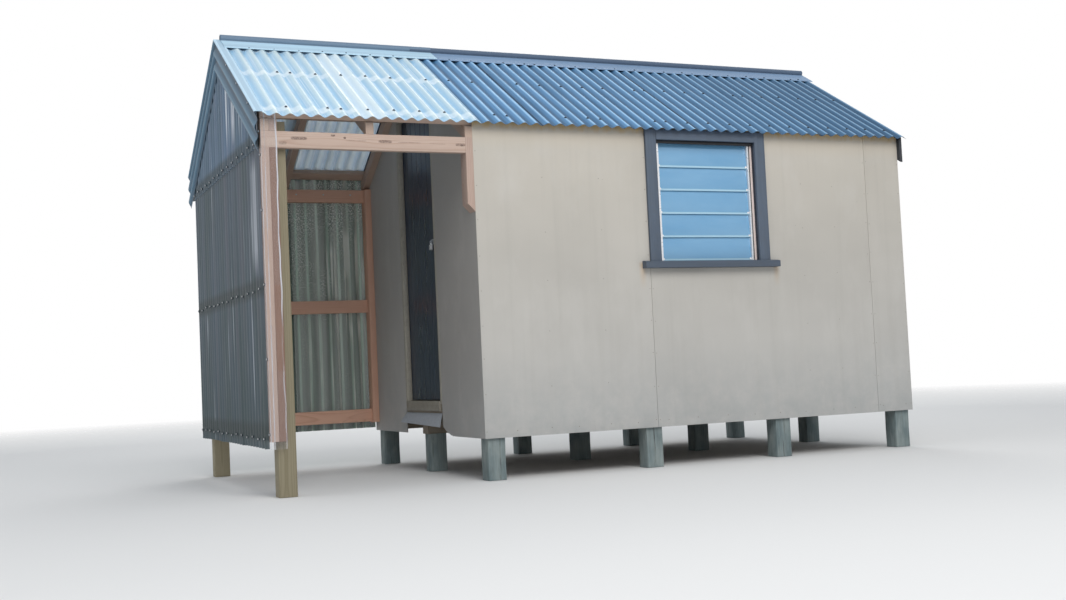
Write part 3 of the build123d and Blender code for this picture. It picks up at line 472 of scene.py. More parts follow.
def roof_steel(name, color, dark, light):
    """Painted corrugated steel: paler crests and darker valleys, partly chalking and dirt and partly
    painted sky highlight and shade; a painted shadow line along the laps, runs down the slope, and
    a painted shade that darkens it toward the far gable. The tone is 0 in the valleys, 1 on the
    crests and below 0 at the edge of a sheet."""
    s = Shade(name)
    flat = s.grain()
    across = s.parts(flat)[0]
    tone = s.tone()
    runs = s.noise(flat, (30.0, 0.8, 1.0), 4.0, 0.6)
    cloud = s.noise(flat, (2.4, 1.8, 3.0))
    base = s.over(color, darker(color, 0.84), cloud, 0.3, 0.7)
    # Darker toward the far gable: painted shade
    base = s.over(base, dark, across, 0.3, 3.0, 0.0, 0.58)
    # Darker valleys and paler crests: partly dirt and chalking, partly painted shade and painted sky highlight
    base = s.over(base, dark, tone, 0.0, 0.50, 0.72, 0.0)
    base = s.over(base, light, tone, 0.78, 1.0, 0.0, 0.80)
    # Darker still toward the far gable: painted shade
    base = s.over(base, dark, across, 1.5, 3.1, 0.0, 0.36)
    base = s.over(base, dark, runs, 0.50, 0.78, 0.0, 0.50)
    # Dark line at each sheet's long edges: painted shadow of the lap
    base = s.over(base, (0.012, 0.018, 0.026), tone, -0.9, -0.1, 0.85, 0.0)
    lichen = s.noise(flat, (55.0, 40.0, 1.0), 4.0, 0.7)
    base = s.over(base, (0.36, 0.38, 0.34), lichen, 0.70, 0.76, 0.0, 0.30)
    uneven = s.plus(s.noise(flat, (300.0, 90.0, 1.0), 3.0), s.times(cloud, 3.0))
    return s.set(color=base, rough=s.level(runs, 0.3, 0.8, 0.40, 0.58), specular=0.25,
                 normal=s.bump(uneven, 0.10, 0.0012))


def clear_sheet(name, valley, crest, opacity, edge, rough, streak, lined, bands=(), laps=(), facing=()):
    """Clear corrugated plastic, hazy with use: it lets part of the light through, is paler along its
    crests as a painted highlight, shows paler still at a glancing angle and carries streaks along its
    corrugations. Tones over 1.5 paint a highlight. Bands are runs over a timber, paler as painted
    light of the lit timber behind, laps the places across where two sheets lie together, and facing
    is the way that the sheet looks, where its whole angle sets how much shows through."""
    s = Shade(name)
    flat = s.grain()
    across, run, _ = s.parts(flat)
    streaks = s.noise(flat, (70.0, 0.35, 1.0), 2.0)
    haze = s.noise(flat, (3.0, 2.2, 2.0), 4.0, 0.55)
    # Paler crests: painted highlight
    tint = s.over(valley, crest, s.tone(), 0.0, 1.0)
    tint = s.over(tint, darker(valley, 0.80), haze, 0.35, 0.7, 0.0, 0.35)
    bright = s.times(s.level(streaks, 0.54, 0.70), s.level(haze, 0.35, 0.60, 0.25 * lined, lined))
    dust = s.noise(flat, (26.0, 18.0, 1.0), 4.0, 0.6)
    ragged = s.plus(run, s.level(dust, 0.3, 0.7, -0.012, 0.012))
    # Paler bands over the purlins: painted light of the lit timber seen through the sheet
    for low, high in bands:
        inside = s.band(ragged, low - 0.012, low + 0.012, high - 0.012, high + 0.012)
        bright = s.most(bright, s.times(inside, s.level(dust, 0.3, 0.65, 0.30, 0.58)))
    for low, high in laps:
        inside = s.band(across, low - 0.004, low + 0.004, high - 0.004, high + 0.004)
        bright = s.most(bright, s.times(inside, 0.46))
    # Tones over 1.5, at sheet edges and the strip's fold, paint a highlight
    bright = s.most(bright, s.level(s.tone(), 1.5, 2.0))
    glance = s.facing(Normal=s.eased(facing, 0.9)) if facing else s.facing()
    amount = s.plus(opacity, s.times(glance, edge), s.level(haze, 0.3, 0.75, -0.05, 0.08), s.times(bright, 0.30))
    return s.set(color=s.mix(bright, tint, streak), rough=rough, specular=0.35,
                 alpha=s.math("MINIMUM", amount, 1.0),
                 normal=s.bump(s.noise(flat, (30.0, 2.0, 1.0), 3.0), 0.2, 0.001))


def wall_plastic(name, way, colors, opacity, edge, streak, shades, bright_cut, rails=(), gleams=(), spots=0.0,
                 outside=None):
    """Clear corrugated plastic of a wall that looks the given way: clouds of tints, thin bright
    streaks down the corrugations, dark bands where a rail lies behind and a painted shade toward the
    foot. Shades are painted light and shade of the valleys, the flanks and the crests, gleams are
    places where the streaks catch the light, spots are dried drops, and outside is a colour that only
    the outer face has."""
    s = Shade(name)
    flat = s.grain()
    across, run, _ = s.parts(flat)
    broad = s.noise(flat, (17.0, 0.30, 1.0), 2.0)
    tint = s.over(colors[0], colors[1], s.noise(flat, (5.0, 0.9, 3.0), 3.0), 0.38, 0.62)
    tint = s.over(tint, colors[2], broad, 0.50, 0.66, 0.0, 0.75)
    tone = s.tone()
    # Painted light and shade across each corrugation
    shade = s.most(s.level(tone, 0.0, 0.5, shades[0], shades[1]), s.level(tone, 0.62, 1.0, 0.0, shades[2]))
    tint = s.shaded(tint, shade)
    thin = s.noise(flat, (38.0, 0.42, 1.0), 1.0, 0.5, (266.0, 0, 0))
    patch = s.noise(flat, (2.6, 1.5, 5.0), 2.0)
    bright = s.times(s.level(thin, bright_cut, bright_cut + 0.05), s.level(patch, 0.45, 0.62))
    for left, right, low, high in gleams:
        inside = s.band(across, left, left + 0.05, right - 0.05, right)
        tall = s.band(run, low, low + 0.15, high - 0.1, high)
        lines = s.level(s.noise(flat, (62.0, 0.5, 1.0), 1.0), 0.50, 0.60)
        bright = s.most(bright, s.times(inside, tall, lines))
    # Darker toward the foot: painted shade
    tint = s.over(tint, (0.050, 0.084, 0.082), run, 0.1, 1.0, 0.40, 0.0)
    if rails:
        # Darker bands where a rail lies behind
        dark_band = s.most(*(s.band(run, low - 0.020, low + 0.015, high - 0.015, high + 0.020) for low, high in rails))
        tint = s.mix(s.times(dark_band, 0.66), tint, (0.060, 0.076, 0.074))
        bright = s.times(bright, s.math("SUBTRACT", 1.0, s.times(dark_band, 0.9)))
    if spots:
        drop = s.level(s.noise(flat, (150.0, 95.0, 1.0), 2.0, 0.6), 0.50, 0.62, 0.0, spots)
        shower = s.level(s.noise(flat, (3.5, 2.2, 9.0), 2.0), 0.44, 0.60)
        bright = s.most(bright, s.times(drop, shower, s.level(run, 0.6, 1.45, 0.08, 1.12)))
    tint = s.mix(bright, tint, streak)
    if outside:
        normal = s.node("NewGeometry", {}).outputs["Normal"]
        tint = s.over(tint, outside, s.vector("DOT_PRODUCT", "Value", normal, way), -0.1, 0.1, 0.0, 0.55)
    glance = s.facing(Normal=s.eased(way, 0.9))
    amount = s.plus(opacity, s.times(glance, edge), s.level(broad, 0.40, 0.64, -0.05, 0.05), s.times(bright, 0.25))
    wave = s.noise(flat, (24.0, 1.2, 1.0), 2.0)
    return s.set(color=tint, rough=0.42, alpha=s.math("MINIMUM", amount, 1.0), specular=0.25,
                 normal=s.bump(wave, 0.12, 0.001, Normal=s.eased(way, 0.6)))


def wrap_plastic(name):
    """Nearly clear sheet with bright lines where it is folded and along its free edge: painted highlights."""
    s = Shade(name)
    patch = s.noise(s.grain(), (20.0, 2.4, 1.0), 3.0)
    bright = s.times(s.level(s.tone(), 0.35, 0.95), s.level(patch, 0.36, 0.60, 0.12, 1.0))
    return s.set(color=(0.78, 0.79, 0.84), rough=0.2, alpha=s.plus(0.045, s.times(bright, 0.60)), specular=0.35)


def metal(name, color, rough=0.35, spots=(0.20, 0.16, 0.12), metallic=1.0):
    s = Shade(name)
    cloud = s.noise(s.place(), (60.0, 60.0, 60.0), 4.0, 0.6)
    spot = s.noise(s.place(), (240.0, 240.0, 240.0), 4.0, 0.6)
    base = s.over(color, darker(color, 0.7), cloud, 0.3, 0.7, 0.0, 0.4)
    base = s.over(base, spots, spot, 0.62, 0.72, 0.0, 0.55)
    return s.set(color=base, metal=metallic, rough=s.level(cloud, 0.3, 0.7, rough - 0.08, rough + 0.15),
                 normal=s.bump(spot, 0.15, 0.0005))


def glass_blade(name):
    """Obscure glass of the blades, pale blue as a painted reflection of the sky, with a faint figure
    in it and a bright band at the foot that is a painted glint on its edge."""
    s = Shade(name)
    along, wide, _ = s.parts(s.grain())
    flat = s.joined(along, wide, 0.0)
    base = s.over((0.150, 0.375, 0.620), (0.205, 0.435, 0.670), s.noise(flat, (2.0, 6.0, 1.0), 3.0), 0.3, 0.7)
    dust = s.noise(flat, (40.0, 60.0, 1.0), 5.0, 0.7)
    base = s.over(base, (0.42, 0.52, 0.58), dust, 0.60, 0.82, 0.0, 0.30)
    # Bright band at each blade's foot: painted glint
    foot = -BLADE_HEIGHT / 2
    base = s.over(base, (0.50, 0.76, 0.88), wide, foot + 0.010, foot + 0.014, 0.75, 0.0)
    return s.set(color=base, rough=0.12, coat=0.5, coat_rough=0.05, specular=0.5, alpha=0.94,
                 normal=s.bump(s.noise(flat, (120.0, 120.0, 1.0), 3.0), 0.06, 0.0008))


def door_paint(name):
    """Dark gloss paint over vertical boards, dusty toward the foot."""
    s = Shade(name)
    grain = s.grain()
    strokes = s.noise(grain, (2.0, 140.0, 140.0), 4.0, 0.6)
    cloud = s.noise(grain, (2.5, 9.0, 9.0))
    base = s.over((0.013, 0.026, 0.050), (0.022, 0.040, 0.070), cloud, 0.3, 0.7)
    base = s.over(base, (0.052, 0.078, 0.115), strokes, 0.5, 0.8, 0.0, 0.25)
    dust = s.level(s.noise(grain, (12.0, 40.0, 40.0), 5.0, 0.7), 0.4, 0.75, 0.0, 0.35)
    low = s.level(s.parts(grain)[0], 0.2, 0.9, 1.0, 0.0)
    return s.set(color=s.mix(s.times(low, dust), base, (0.16, 0.15, 0.13)), specular=0.5, coat=0.25,
                 coat_rough=0.2, rough=s.level(cloud, 0.2, 0.8, 0.22, 0.42),
                 normal=s.bump(strokes, 0.25, 0.0008))


def grey_timber(name, color):
    """Grey weathered piles, rough sawn, with damp feet."""
    s = Shade(name)
    grain = s.grain()
    fibre = s.noise(grain, (7.0, 130.0, 130.0), 5.0, 0.65)
    cloud = s.noise(grain, (6.0, 14.0, 14.0))
    base = s.over(color, darker(color, 0.55), fibre, 0.3, 0.75)
    base = s.over(base, (0.40, 0.44, 0.42), cloud, 0.35, 0.7, 0.0, 0.5)
    crack = s.noise(grain, (2.5, 75.0, 75.0), 4.0, 0.7)
    base = s.over(base, (0.05, 0.05, 0.045), crack, 0.60, 0.68, 0.0, 0.8)
    dark_band = s.times(s.level(s.parts(grain)[0], 0.0, 0.10, 0.75, 0.0), s.level(cloud, 0.2, 0.7, 0.5, 1.0))
    return s.set(color=s.mix(dark_band, base, (0.085, 0.095, 0.070)), rough=0.85, specular=0.2,
                 normal=s.bump(s.plus(fibre, crack), 0.6, 0.002))


# The first sheet of a wall has its pattern from its seed times this
PATTERN = 3.7
HOLE = (WINDOW_LEFT - LINING, WINDOW_RIGHT + LINING, WINDOW_LOW - LINING, WINDOW_HIGH + LINING)
DOORWAY = (NEAR_JAMB - JAMB, FAR_JAMB + JAMB, DOOR_HEAD + JAMB)
SILL_RUNS = ((1.068 + 0.4 * PATTERN, HOLE[2]), (2.032 + 1.7 * PATTERN, HOLE[2]))
HEADER_MARKS = tuple((x, PLATE - down, *rest) for x, down, *rest in (
    (-1.010, 0.036, 0.045, 0.0085, 0.75), (-0.523, 0.040, 0.040, 0.0085, 0.70),
    (-0.075, 0.046, 0.030, 0.0080, 0.70), (-0.820, 0.015, 0.012, 0.0060, 0.95),
    (-0.754, 0.026, 0.007, 0.0060, 0.95), (-0.069, 0.050, 0.007, 0.0045, 0.90),
    (-1.100, 0.064, 0.022, 0.0090, 0.45), (-0.690, 0.040, 0.060, 0.0045, 0.25),
    (-0.380, 0.042, 0.070, 0.0040, 0.25), (-0.215, 0.044, 0.050, 0.0040, 0.22)))
PINE = wood("pine", (0.540, 0.412, 0.335), (0.365, 0.230, 0.165), (0.14, 0.07, 0.045))
HEADER_PINE = wood("header_pine", (0.500, 0.388, 0.325), (0.350, 0.220, 0.165), (0.12, 0.075, 0.060),
                   marks=HEADER_MARKS)
STUD_PINE = wood("stud_pine", (0.460, 0.350, 0.295), (0.315, 0.195, 0.155), (0.13, 0.065, 0.045))
RED_PINE = wood("pine_red", (0.292, 0.174, 0.124), (0.192, 0.092, 0.064), (0.10, 0.045, 0.03))
# Pine made lighter for the porch's back rails and door-wall stud: painted light
LIT_RAIL_PINE = wood("rail_pine_painted_light", (0.740, 0.455, 0.335), (0.500, 0.250, 0.165), (0.12, 0.06, 0.04))
TREATED = wood("treated_pine", (0.300, 0.265, 0.185), (0.205, 0.175, 0.105), (0.09, 0.07, 0.04), rough=0.72)
OLD_TIMBER = wood("old_timber", (0.30, 0.25, 0.19), (0.20, 0.15, 0.11), (0.09, 0.06, 0.04), 1.0, 0.6, 0.8)
WALL_LINING = wood("wall_lining", (0.50, 0.40, 0.28), (0.40, 0.29, 0.18), (0.20, 0.12, 0.07), contrast=0.6)
PILE_TIMBER = grey_timber("grey_timber", (0.200, 0.255, 0.265))
CREAM = wall_paint("cream_paint", (0.502, 0.494, 0.476), (0.545, 0.510, 0.452), marks=SILL_RUNS)
# The door wall's paint, darker than the front wall's: painted shade of the porch
CREAM_PORCH_SHADE = wall_paint("cream_paint_inside_porch_painted_shade", (0.455, 0.440, 0.425), (0.475, 0.450, 0.422), eave_shade=0.2)
CREAM_SHADED = wall_paint("cream_paint_shaded_sides", (0.490, 0.482, 0.455), (0.530, 0.500, 0.445), 0.8, 0.75, 0.55)
CREAM_TRIM = paint("cream_trim", (0.40, 0.375, 0.32), 0.35)
WORN_TRIM = paint("worn_trim", (0.27, 0.25, 0.21), 0.5, (0.16, 0.14, 0.11))
BLUE_TRIM = paint("blue_trim", (0.085, 0.112, 0.155), 0.25, (0.25, 0.25, 0.24))
DARK_TRIM = paint("dark_trim", (0.035, 0.040, 0.050), 0.3)
# Near-black paint for the window's lining: painted shade of the reveal
SHADED_REVEAL_TRIM = paint("reveal_trim_painted_shade", (0.024, 0.032, 0.052), 0.1)
# Made paler to offset the shade of the reveal: painted light
IVORY = paint("ivory_strip", (0.78, 0.66, 0.62), 0.2)
SEAL = paint("louvre_seal", (0.020, 0.020, 0.024), 0.2)
DOOR = door_paint("door_paint")
BLADE_GLASS = glass_blade("louvre_glass")
# The roof steel's light colour is a painted sky highlight on the crests
STEEL = roof_steel("roof_steel", (0.112, 0.280, 0.510), (0.022, 0.064, 0.125), (0.36, 0.64, 0.94))
# Cap steels: pale base colours stand for sky reflected in the wings, light colours for a highlight on the roll: painted
# reflection and highlight
CAP_STEEL = roof_steel("cap_steel", (0.220, 0.345, 0.530), (0.050, 0.065, 0.095), (0.28, 0.32, 0.40))
PORCH_CAP_STEEL = roof_steel("porch_cap_steel", (0.520, 0.750, 0.920), (0.065, 0.095, 0.165), (0.50, 0.58, 0.72))
PURLINS = (0.0, MID_PURLIN, RIDGE_PURLIN)
WALL_RAILS = tuple((top - RAIL, top) for top in RAIL_TOPS)
CLEAR_ROOF = clear_sheet("clear_roof", (0.42, 0.73, 1.0), (0.76, 0.94, 1.0), 0.52, 0.28, 0.25, (0.93, 0.98, 1.0), 0.45,
                         bands=tuple((run, run + PURLIN_WIDTH) for run in PURLINS), laps=((-9 * CORR, -7 * CORR),))
CLEAR_EDGE = clear_sheet("clear_edge", (0.032, 0.085, 0.145), (0.130, 0.275, 0.400), 0.60, 0.34, 0.40,
                         (0.52, 0.72, 0.88), 0.2, facing=(-1, 0, 0))
CLEAR_END = wall_plastic("clear_end", (-1, 0, 0),
                         ((0.118, 0.158, 0.198), (0.098, 0.136, 0.150), (0.145, 0.154, 0.190)), 0.32, 0.70,
                         (0.42, 0.45, 0.50), (0.86, 1.0, 1.14), 0.66, WALL_RAILS, ((0.04, 0.24, 0.95, 1.62),))
CLEAR_GABLE = wall_plastic("clear_gable", (-1, 0, 0),
                           ((0.160, 0.250, 0.370), (0.125, 0.195, 0.265), (0.195, 0.245, 0.340)), 0.32, 0.70,
                           (0.72, 0.76, 0.82), (0.80, 1.0, 1.25), 0.62, WALL_RAILS, ((0.36, 0.90, 1.76, 2.30),))
CLEAR_BACK = wall_plastic("clear_back", (0, 1, 0),
                          ((0.125, 0.205, 0.155), (0.188, 0.248, 0.208), (0.092, 0.155, 0.115)), 0.76, 0.14,
                          (0.70, 0.74, 0.68), (0.62, 0.85, 2.4), 0.58, spots=0.95, outside=(0.36, 0.43, 0.39))
CLEAR_WRAP = wrap_plastic("clear_wrap")
ZINC = metal("zinc_steel", (0.62, 0.63, 0.65))
HASP_STEEL = metal("hasp_steel", (0.42, 0.44, 0.48), rough=0.5, metallic=0.25)
ALUMINIUM = metal("louvre_aluminium", (0.84, 0.85, 0.87), rough=0.3, metallic=0.6)
DARK_HEAD = metal("painted_screws", (0.020, 0.038, 0.068), 0.5, (0.06, 0.07, 0.09), 0.2)
WASHER = metal("screw_washer", (0.022, 0.032, 0.048), 0.6, (0.05, 0.05, 0.06), 0.1)
NAIL_HEADS = metal("nail_heads", (0.26, 0.23, 0.20), rough=0.6, metallic=0.2)
FLAP_STEEL = metal("flap_steel", (0.44, 0.47, 0.52), rough=0.55, metallic=0.2)


# Boards and flat sheets

def about(value, reach):
    """The value, moved a little at random."""
    return value + rng.uniform(-reach, reach)


def rounded(wide, deep, edge):
    """Points round a rectangle with eased corners, centred on its middle."""
    points = []
    for turn, (a, b) in enumerate(((1, 1), (-1, 1), (-1, -1), (1, -1))):
        for step in (0, 0.5, 1):
            angle = math.pi / 2 * (turn + step)
            points.append((a * (wide / 2 - edge) + edge * math.cos(angle),
                           b * (deep / 2 - edge) + edge * math.sin(angle)))
    return points


def board(batch, start, end, wide_way, section, tone=None, bow=0.0008, pith=None, cut=None):
    """A sawn board from start to end. The way of its wide side is given, and cut is the normal of
    a slanted start."""
    start, end, wide_way = Vector(start), Vector(end), Vector(wide_way)
    along = (end - start).normalized()
    wide_way = (wide_way - along * wide_way.dot(along)).normalized()
    deep_way = along.cross(wide_way)
    length = (end - start).length
    seed = rng.uniform(0, 20)
    tone = rng.uniform(0.25, 0.75) if tone is None else tone
    pith = pith or (rng.uniform(-0.03, 0.03), rng.uniform(0.02, 0.09) * rng.choice((-1, 1)))
    shares = np.linspace(0, 1, max(2, round(length / 0.12) + 1)).tolist()
    points, grain = [], []
    for share in shares:
        fade = math.sin(math.pi * share)
        off_wide = bow * fade * math.sin(seed + share * 4)
        off_deep = bow * fade * math.cos(seed * 1.3 + share * 3)
        for a, b in section:
            point = start + along * (length * share)
            point = point + wide_way * (a * (1 - 0.004 * fade) + off_wide) + deep_way * (b + off_deep)
            if cut and share == 0:
                point = point - along * ((point - start).dot(Vector(cut)) / along.dot(Vector(cut)))
            points.append(point)
            grain.append((length * share + seed * 3, a + pith[0], b + pith[1]))
    count = len(section)
    faces = ring_faces(len(shares), count)[:-2]
    for first, reach in ((0, 0.0), (len(points) - count, length)):
        faces += [(first + corner, first + (corner + 1) % count, len(points)) for corner in range(count)]
        points.append(sum(points[first:first + count], Vector()) / count)
        grain.append((reach + seed * 3, *pith))
    batch.add([tuple(point) for point in points], faces, grain, tone)


def box_board(batch, low, high, way, edge=0.0025, **settings):
    """A board that fills a box in the setting-out frame, with its length along X, Y or Z."""
    low, high = Vector(low), Vector(high)
    size = high - low
    start, end = (low + high) / 2, (low + high) / 2
    axis = "XYZ".index(way)
    start[axis], end[axis] = low[axis], high[axis]
    wide = max((i for i in range(3) if i != axis), key=lambda i: size[i])
    section = rounded(size[wide], size[3 - axis - wide], edge)
    board(batch, start, end, Matrix.Identity(3)[wide], section, **settings)


def lines(start, end, through=()):
    """Grid lines from start to end, with close ones at each edge for the easing."""
    marks = sorted({start, end, *through})
    made = [end]
    for a, b in zip(marks, marks[1:]):
        count = max(1, round((b - a) / 0.16))
        made += [a, a + 0.002, *(a + (b - a) * k / count for k in range(1, count)), b - 0.002]
    return sorted({round(value, 5) for value in made})


def wall_sheet(batch, axis, face, out, low, high, bottom, top, seed, hole=(), through=(), tone=0.5):
    """A sheet of cladding in cells. Axis is the way it runs, face where its outer side lies and out
    which way that looks. Bottom and top are heights over the distance along it."""
    us = lines(low, high, (*through, *hole[:2]))
    vs = [0.0, 0.002, *np.linspace(0.06, 0.94, 14).tolist(), 0.998, 1.0]
    if hole:
        vs = lines(bottom(0), top(0), hole[2:])
    held = set()
    for i in range(len(us) - 1):
        for j in range(len(vs) - 1):
            u, v = (us[i] + us[i + 1]) / 2, (vs[j] + vs[j + 1]) / 2
            if not (hole and hole[0] < u < hole[1] and hole[2] < v < hole[3]):
                held.add((i, j))
    points, marks, numbers, faces = [], [], {}, []

    def number(side, i, j):
        if (side, i, j) not in numbers:
            numbers[side, i, j] = len(points)
            u, v = us[i], vs[j]
            z = v if hole else bottom(u) + (top(u) - bottom(u)) * v
            rim = not {(i - 1, j - 1), (i, j - 1), (i - 1, j), (i, j)} <= held
            hollow = 0.0012 if rim else 0.0004 + 0.0003 * math.sin(u * 5.1 + seed) * math.cos(v * 4.3 + seed)
            deep = face - out * (CLADDING if side else hollow)
            points.append((u, deep, z) if axis == "X" else (deep, u, z))
            marks.append((u + seed * PATTERN, z, top(u) - z))
        return numbers[side, i, j]

    for i, j in sorted(held):
        ring = [(i, j), (i + 1, j), (i + 1, j + 1), (i, j + 1)]
        faces.append([number(0, *corner) for corner in ring])
        faces.append([number(1, *corner) for corner in reversed(ring)])
        for side, (step_i, step_j) in enumerate(((0, -1), (1, 0), (0, 1), (-1, 0))):
            if (i + step_i, j + step_j) not in held:
                a, b = ring[side], ring[(side + 1) % 4]
                faces.append([number(0, *a), number(1, *a), number(1, *b), number(0, *b)])
    batch.add(points, faces, marks, tone)


# Fasteners

def turned(batch, base, axis, profile, sides=10):
    """A small turned piece: profile lists radius and height along its axis."""
    axis = Vector(axis).normalized()
    side = axis.orthogonal().normalized()
    up = axis.cross(side)
    points = []
    for radius, height in profile:
        for k in range(sides):
            angle = 2 * math.pi * k / sides
            round_way = side * math.cos(angle) + up * math.sin(angle)
            points.append(tuple(Vector(base) + axis * height + round_way * radius))
    batch.add(points, ring_faces(len(profile), sides))


def tube(batch, path, radius, sides=10):
    """A round bar along a path."""
    path = [Vector(point) for point in path]
    points = []
    up = None
    for here, before, after in zip(path, path[:1] + path, path[1:] + path[-1:]):
        way = (after - before).normalized()
        up = up or way.orthogonal().normalized()
        up = (up - way * up.dot(way)).normalized()
        across = way.cross(up)
        for k in range(sides):
            angle = 2 * math.pi * k / sides
            points.append(tuple(here + (up * math.cos(angle) + across * math.sin(angle)) * radius))
    batch.add(points, ring_faces(len(path), sides))


def roof_screw(heads, washers, point, axis):
    """A hexagon headed screw on a wide washer."""
    turned(washers, point, axis, [(0.0085, -0.001), (0.0090, 0.0006), (0.0072, 0.0018), (0.003, 0.0020)], 12)
    top = Vector(point) + Vector(axis) * 0.0018
    turned(heads, top, axis, [(0.0052, -0.001), (0.0052, 0.0034), (0.0040, 0.0042)], 6)


def nail(batch, point, axis, radius=0.0026):
    turned(batch, point, axis, [(radius, -0.0008), (radius, 0.0004), (radius * 0.7, 0.0008)], 8)


def screw_crests(low, high, first):
    """The numbers of every second crest between two places across."""
    crests = range(math.ceil(low / CORR + 0.25), math.floor(high / CORR - 0.25) + 1)
    return [number for number in crests if (number - first) % 2 == 0]


def lift_at(number, cuts):
    """How far the topmost sheet at a crest is lifted."""
    return LIFT * any(a <= number <= b for a, b in list(zip(cuts, cuts[1:]))[1::2])


# Ground, floor and walls

def build_base():
    piles, bearers, joists, floor = Batch(), Batch(), Batch(), Batch()
    length, depth = HUT_LENGTH - CLADDING, HUT_DEPTH - CLADDING
    for y in (0.020, (HUT_DEPTH - 0.110) / 2, HUT_DEPTH - 0.130):
        for x in (0.075, 1.103, 2.031, 2.973):
            box_board(piles, (x - 0.055, y, GROUND), (x + 0.055, y + 0.110, 0), "Z", 0.007, bow=0.0015)
    for y in (0.025, (HUT_DEPTH - 0.100) / 2, HUT_DEPTH - 0.125):
        box_board(bearers, (CLADDING, y, 0), (length, y + 0.100, BEARER_TOP), "X", 0.004)
    step = (length - CLADDING - STUD) / 6
    for number in range(7):
        x = CLADDING + number * step
        box_board(joists, (x, CLADDING, BEARER_TOP), (x + STUD, depth, JOIST_TOP), "Y")
    count = 16
    width = (depth - CLADDING) / count
    for number in range(count):
        y = CLADDING + number * width
        box_board(floor, (CLADDING, y + 0.0006, JOIST_TOP), (length, y + width - 0.0006, FLOOR_TOP), "X", 0.0015,
                  bow=0.0)
    piles.build("ground_piles", PILE_TIMBER, "grey_timber", "piles")
    bearers.build("floor_bearers", OLD_TIMBER, "grey_timber", "bearers")
    joists.build("floor_joist_timbers", OLD_TIMBER, "grey_timber", "floor_joists")
    floor.build("floor_boards", OLD_TIMBER, "grey_timber", "floor")


def wall_panel(batch, x0, x1, y0, y1, low=FLOOR_TOP, top=None):
    """A piece of wall from the floor or a height up to a height or the rafters."""
    ys = (y1, RIDGE_Y, y0) if not top and y0 < RIDGE_Y < y1 else (y1, y0)
    corners = [(y0, low), (y1, low), *((y, top or roof_z(y, RAFTER_TOP)) for y in ys)]
    points = [(x, *corner) for x in (x0, x1) for corner in corners]
    batch.add(points, ring_faces(2, len(corners)), [point[::-1] for point in points])


def build_walls():
    far, back = HUT_LENGTH - CLADDING, HUT_DEPTH - CLADDING
    for name, node, panels in (
            ("front_wall_frame", "front_wall", (
                (WALL, HOLE[0], CLADDING, WALL, FLOOR_TOP, PLATE),
                (HOLE[0] + 0.0005, HOLE[1] - 0.0005, CLADDING, WALL, FLOOR_TOP, HOLE[2]),
                (HOLE[1], HUT_LENGTH - WALL, CLADDING, WALL, FLOOR_TOP, PLATE))),
            ("back_wall_frame", "back_wall", ((WALL, HUT_LENGTH - WALL, HUT_DEPTH - WALL, back, FLOOR_TOP, PLATE),)),
            ("far_gable_frame", "far_gable_wall", ((HUT_LENGTH - WALL, far, CLADDING, back),)),
            ("door_wall_front_frame", "door_wall_front", ((CLADDING, WALL, CLADDING, DOORWAY[0]),)),
            ("door_wall_back_frame", "door_wall_back", ((CLADDING, WALL, DOORWAY[1], back),)),
            ("door_wall_head_frame", "door_wall_head",
             ((CLADDING, WALL, DOORWAY[0] + 0.0005, DOORWAY[1] - 0.0005, DOORWAY[2]),))):
        batch = Batch()
        for panel in panels:
            wall_panel(batch, *panel)
        batch.build(name, WALL_LINING, "wall_lining", node)


def broken(u):
    """Foot of the door wall's near sheet, whose lower corner is broken off in a ragged curve."""
    reach, rise = 0.215, 0.058
    radius = (reach ** 2 + rise ** 2) / (2 * rise)
    past = u - DOORWAY[0] + reach
    if past <= 0:
        return 0.0
    ragged = 0.0018 * math.sin(u * 160) + 0.0012 * math.sin(u * 390 + 1)
    return max(0.0, radius - math.sqrt(radius ** 2 - past ** 2) + ragged * min(1.0, past / 0.03))


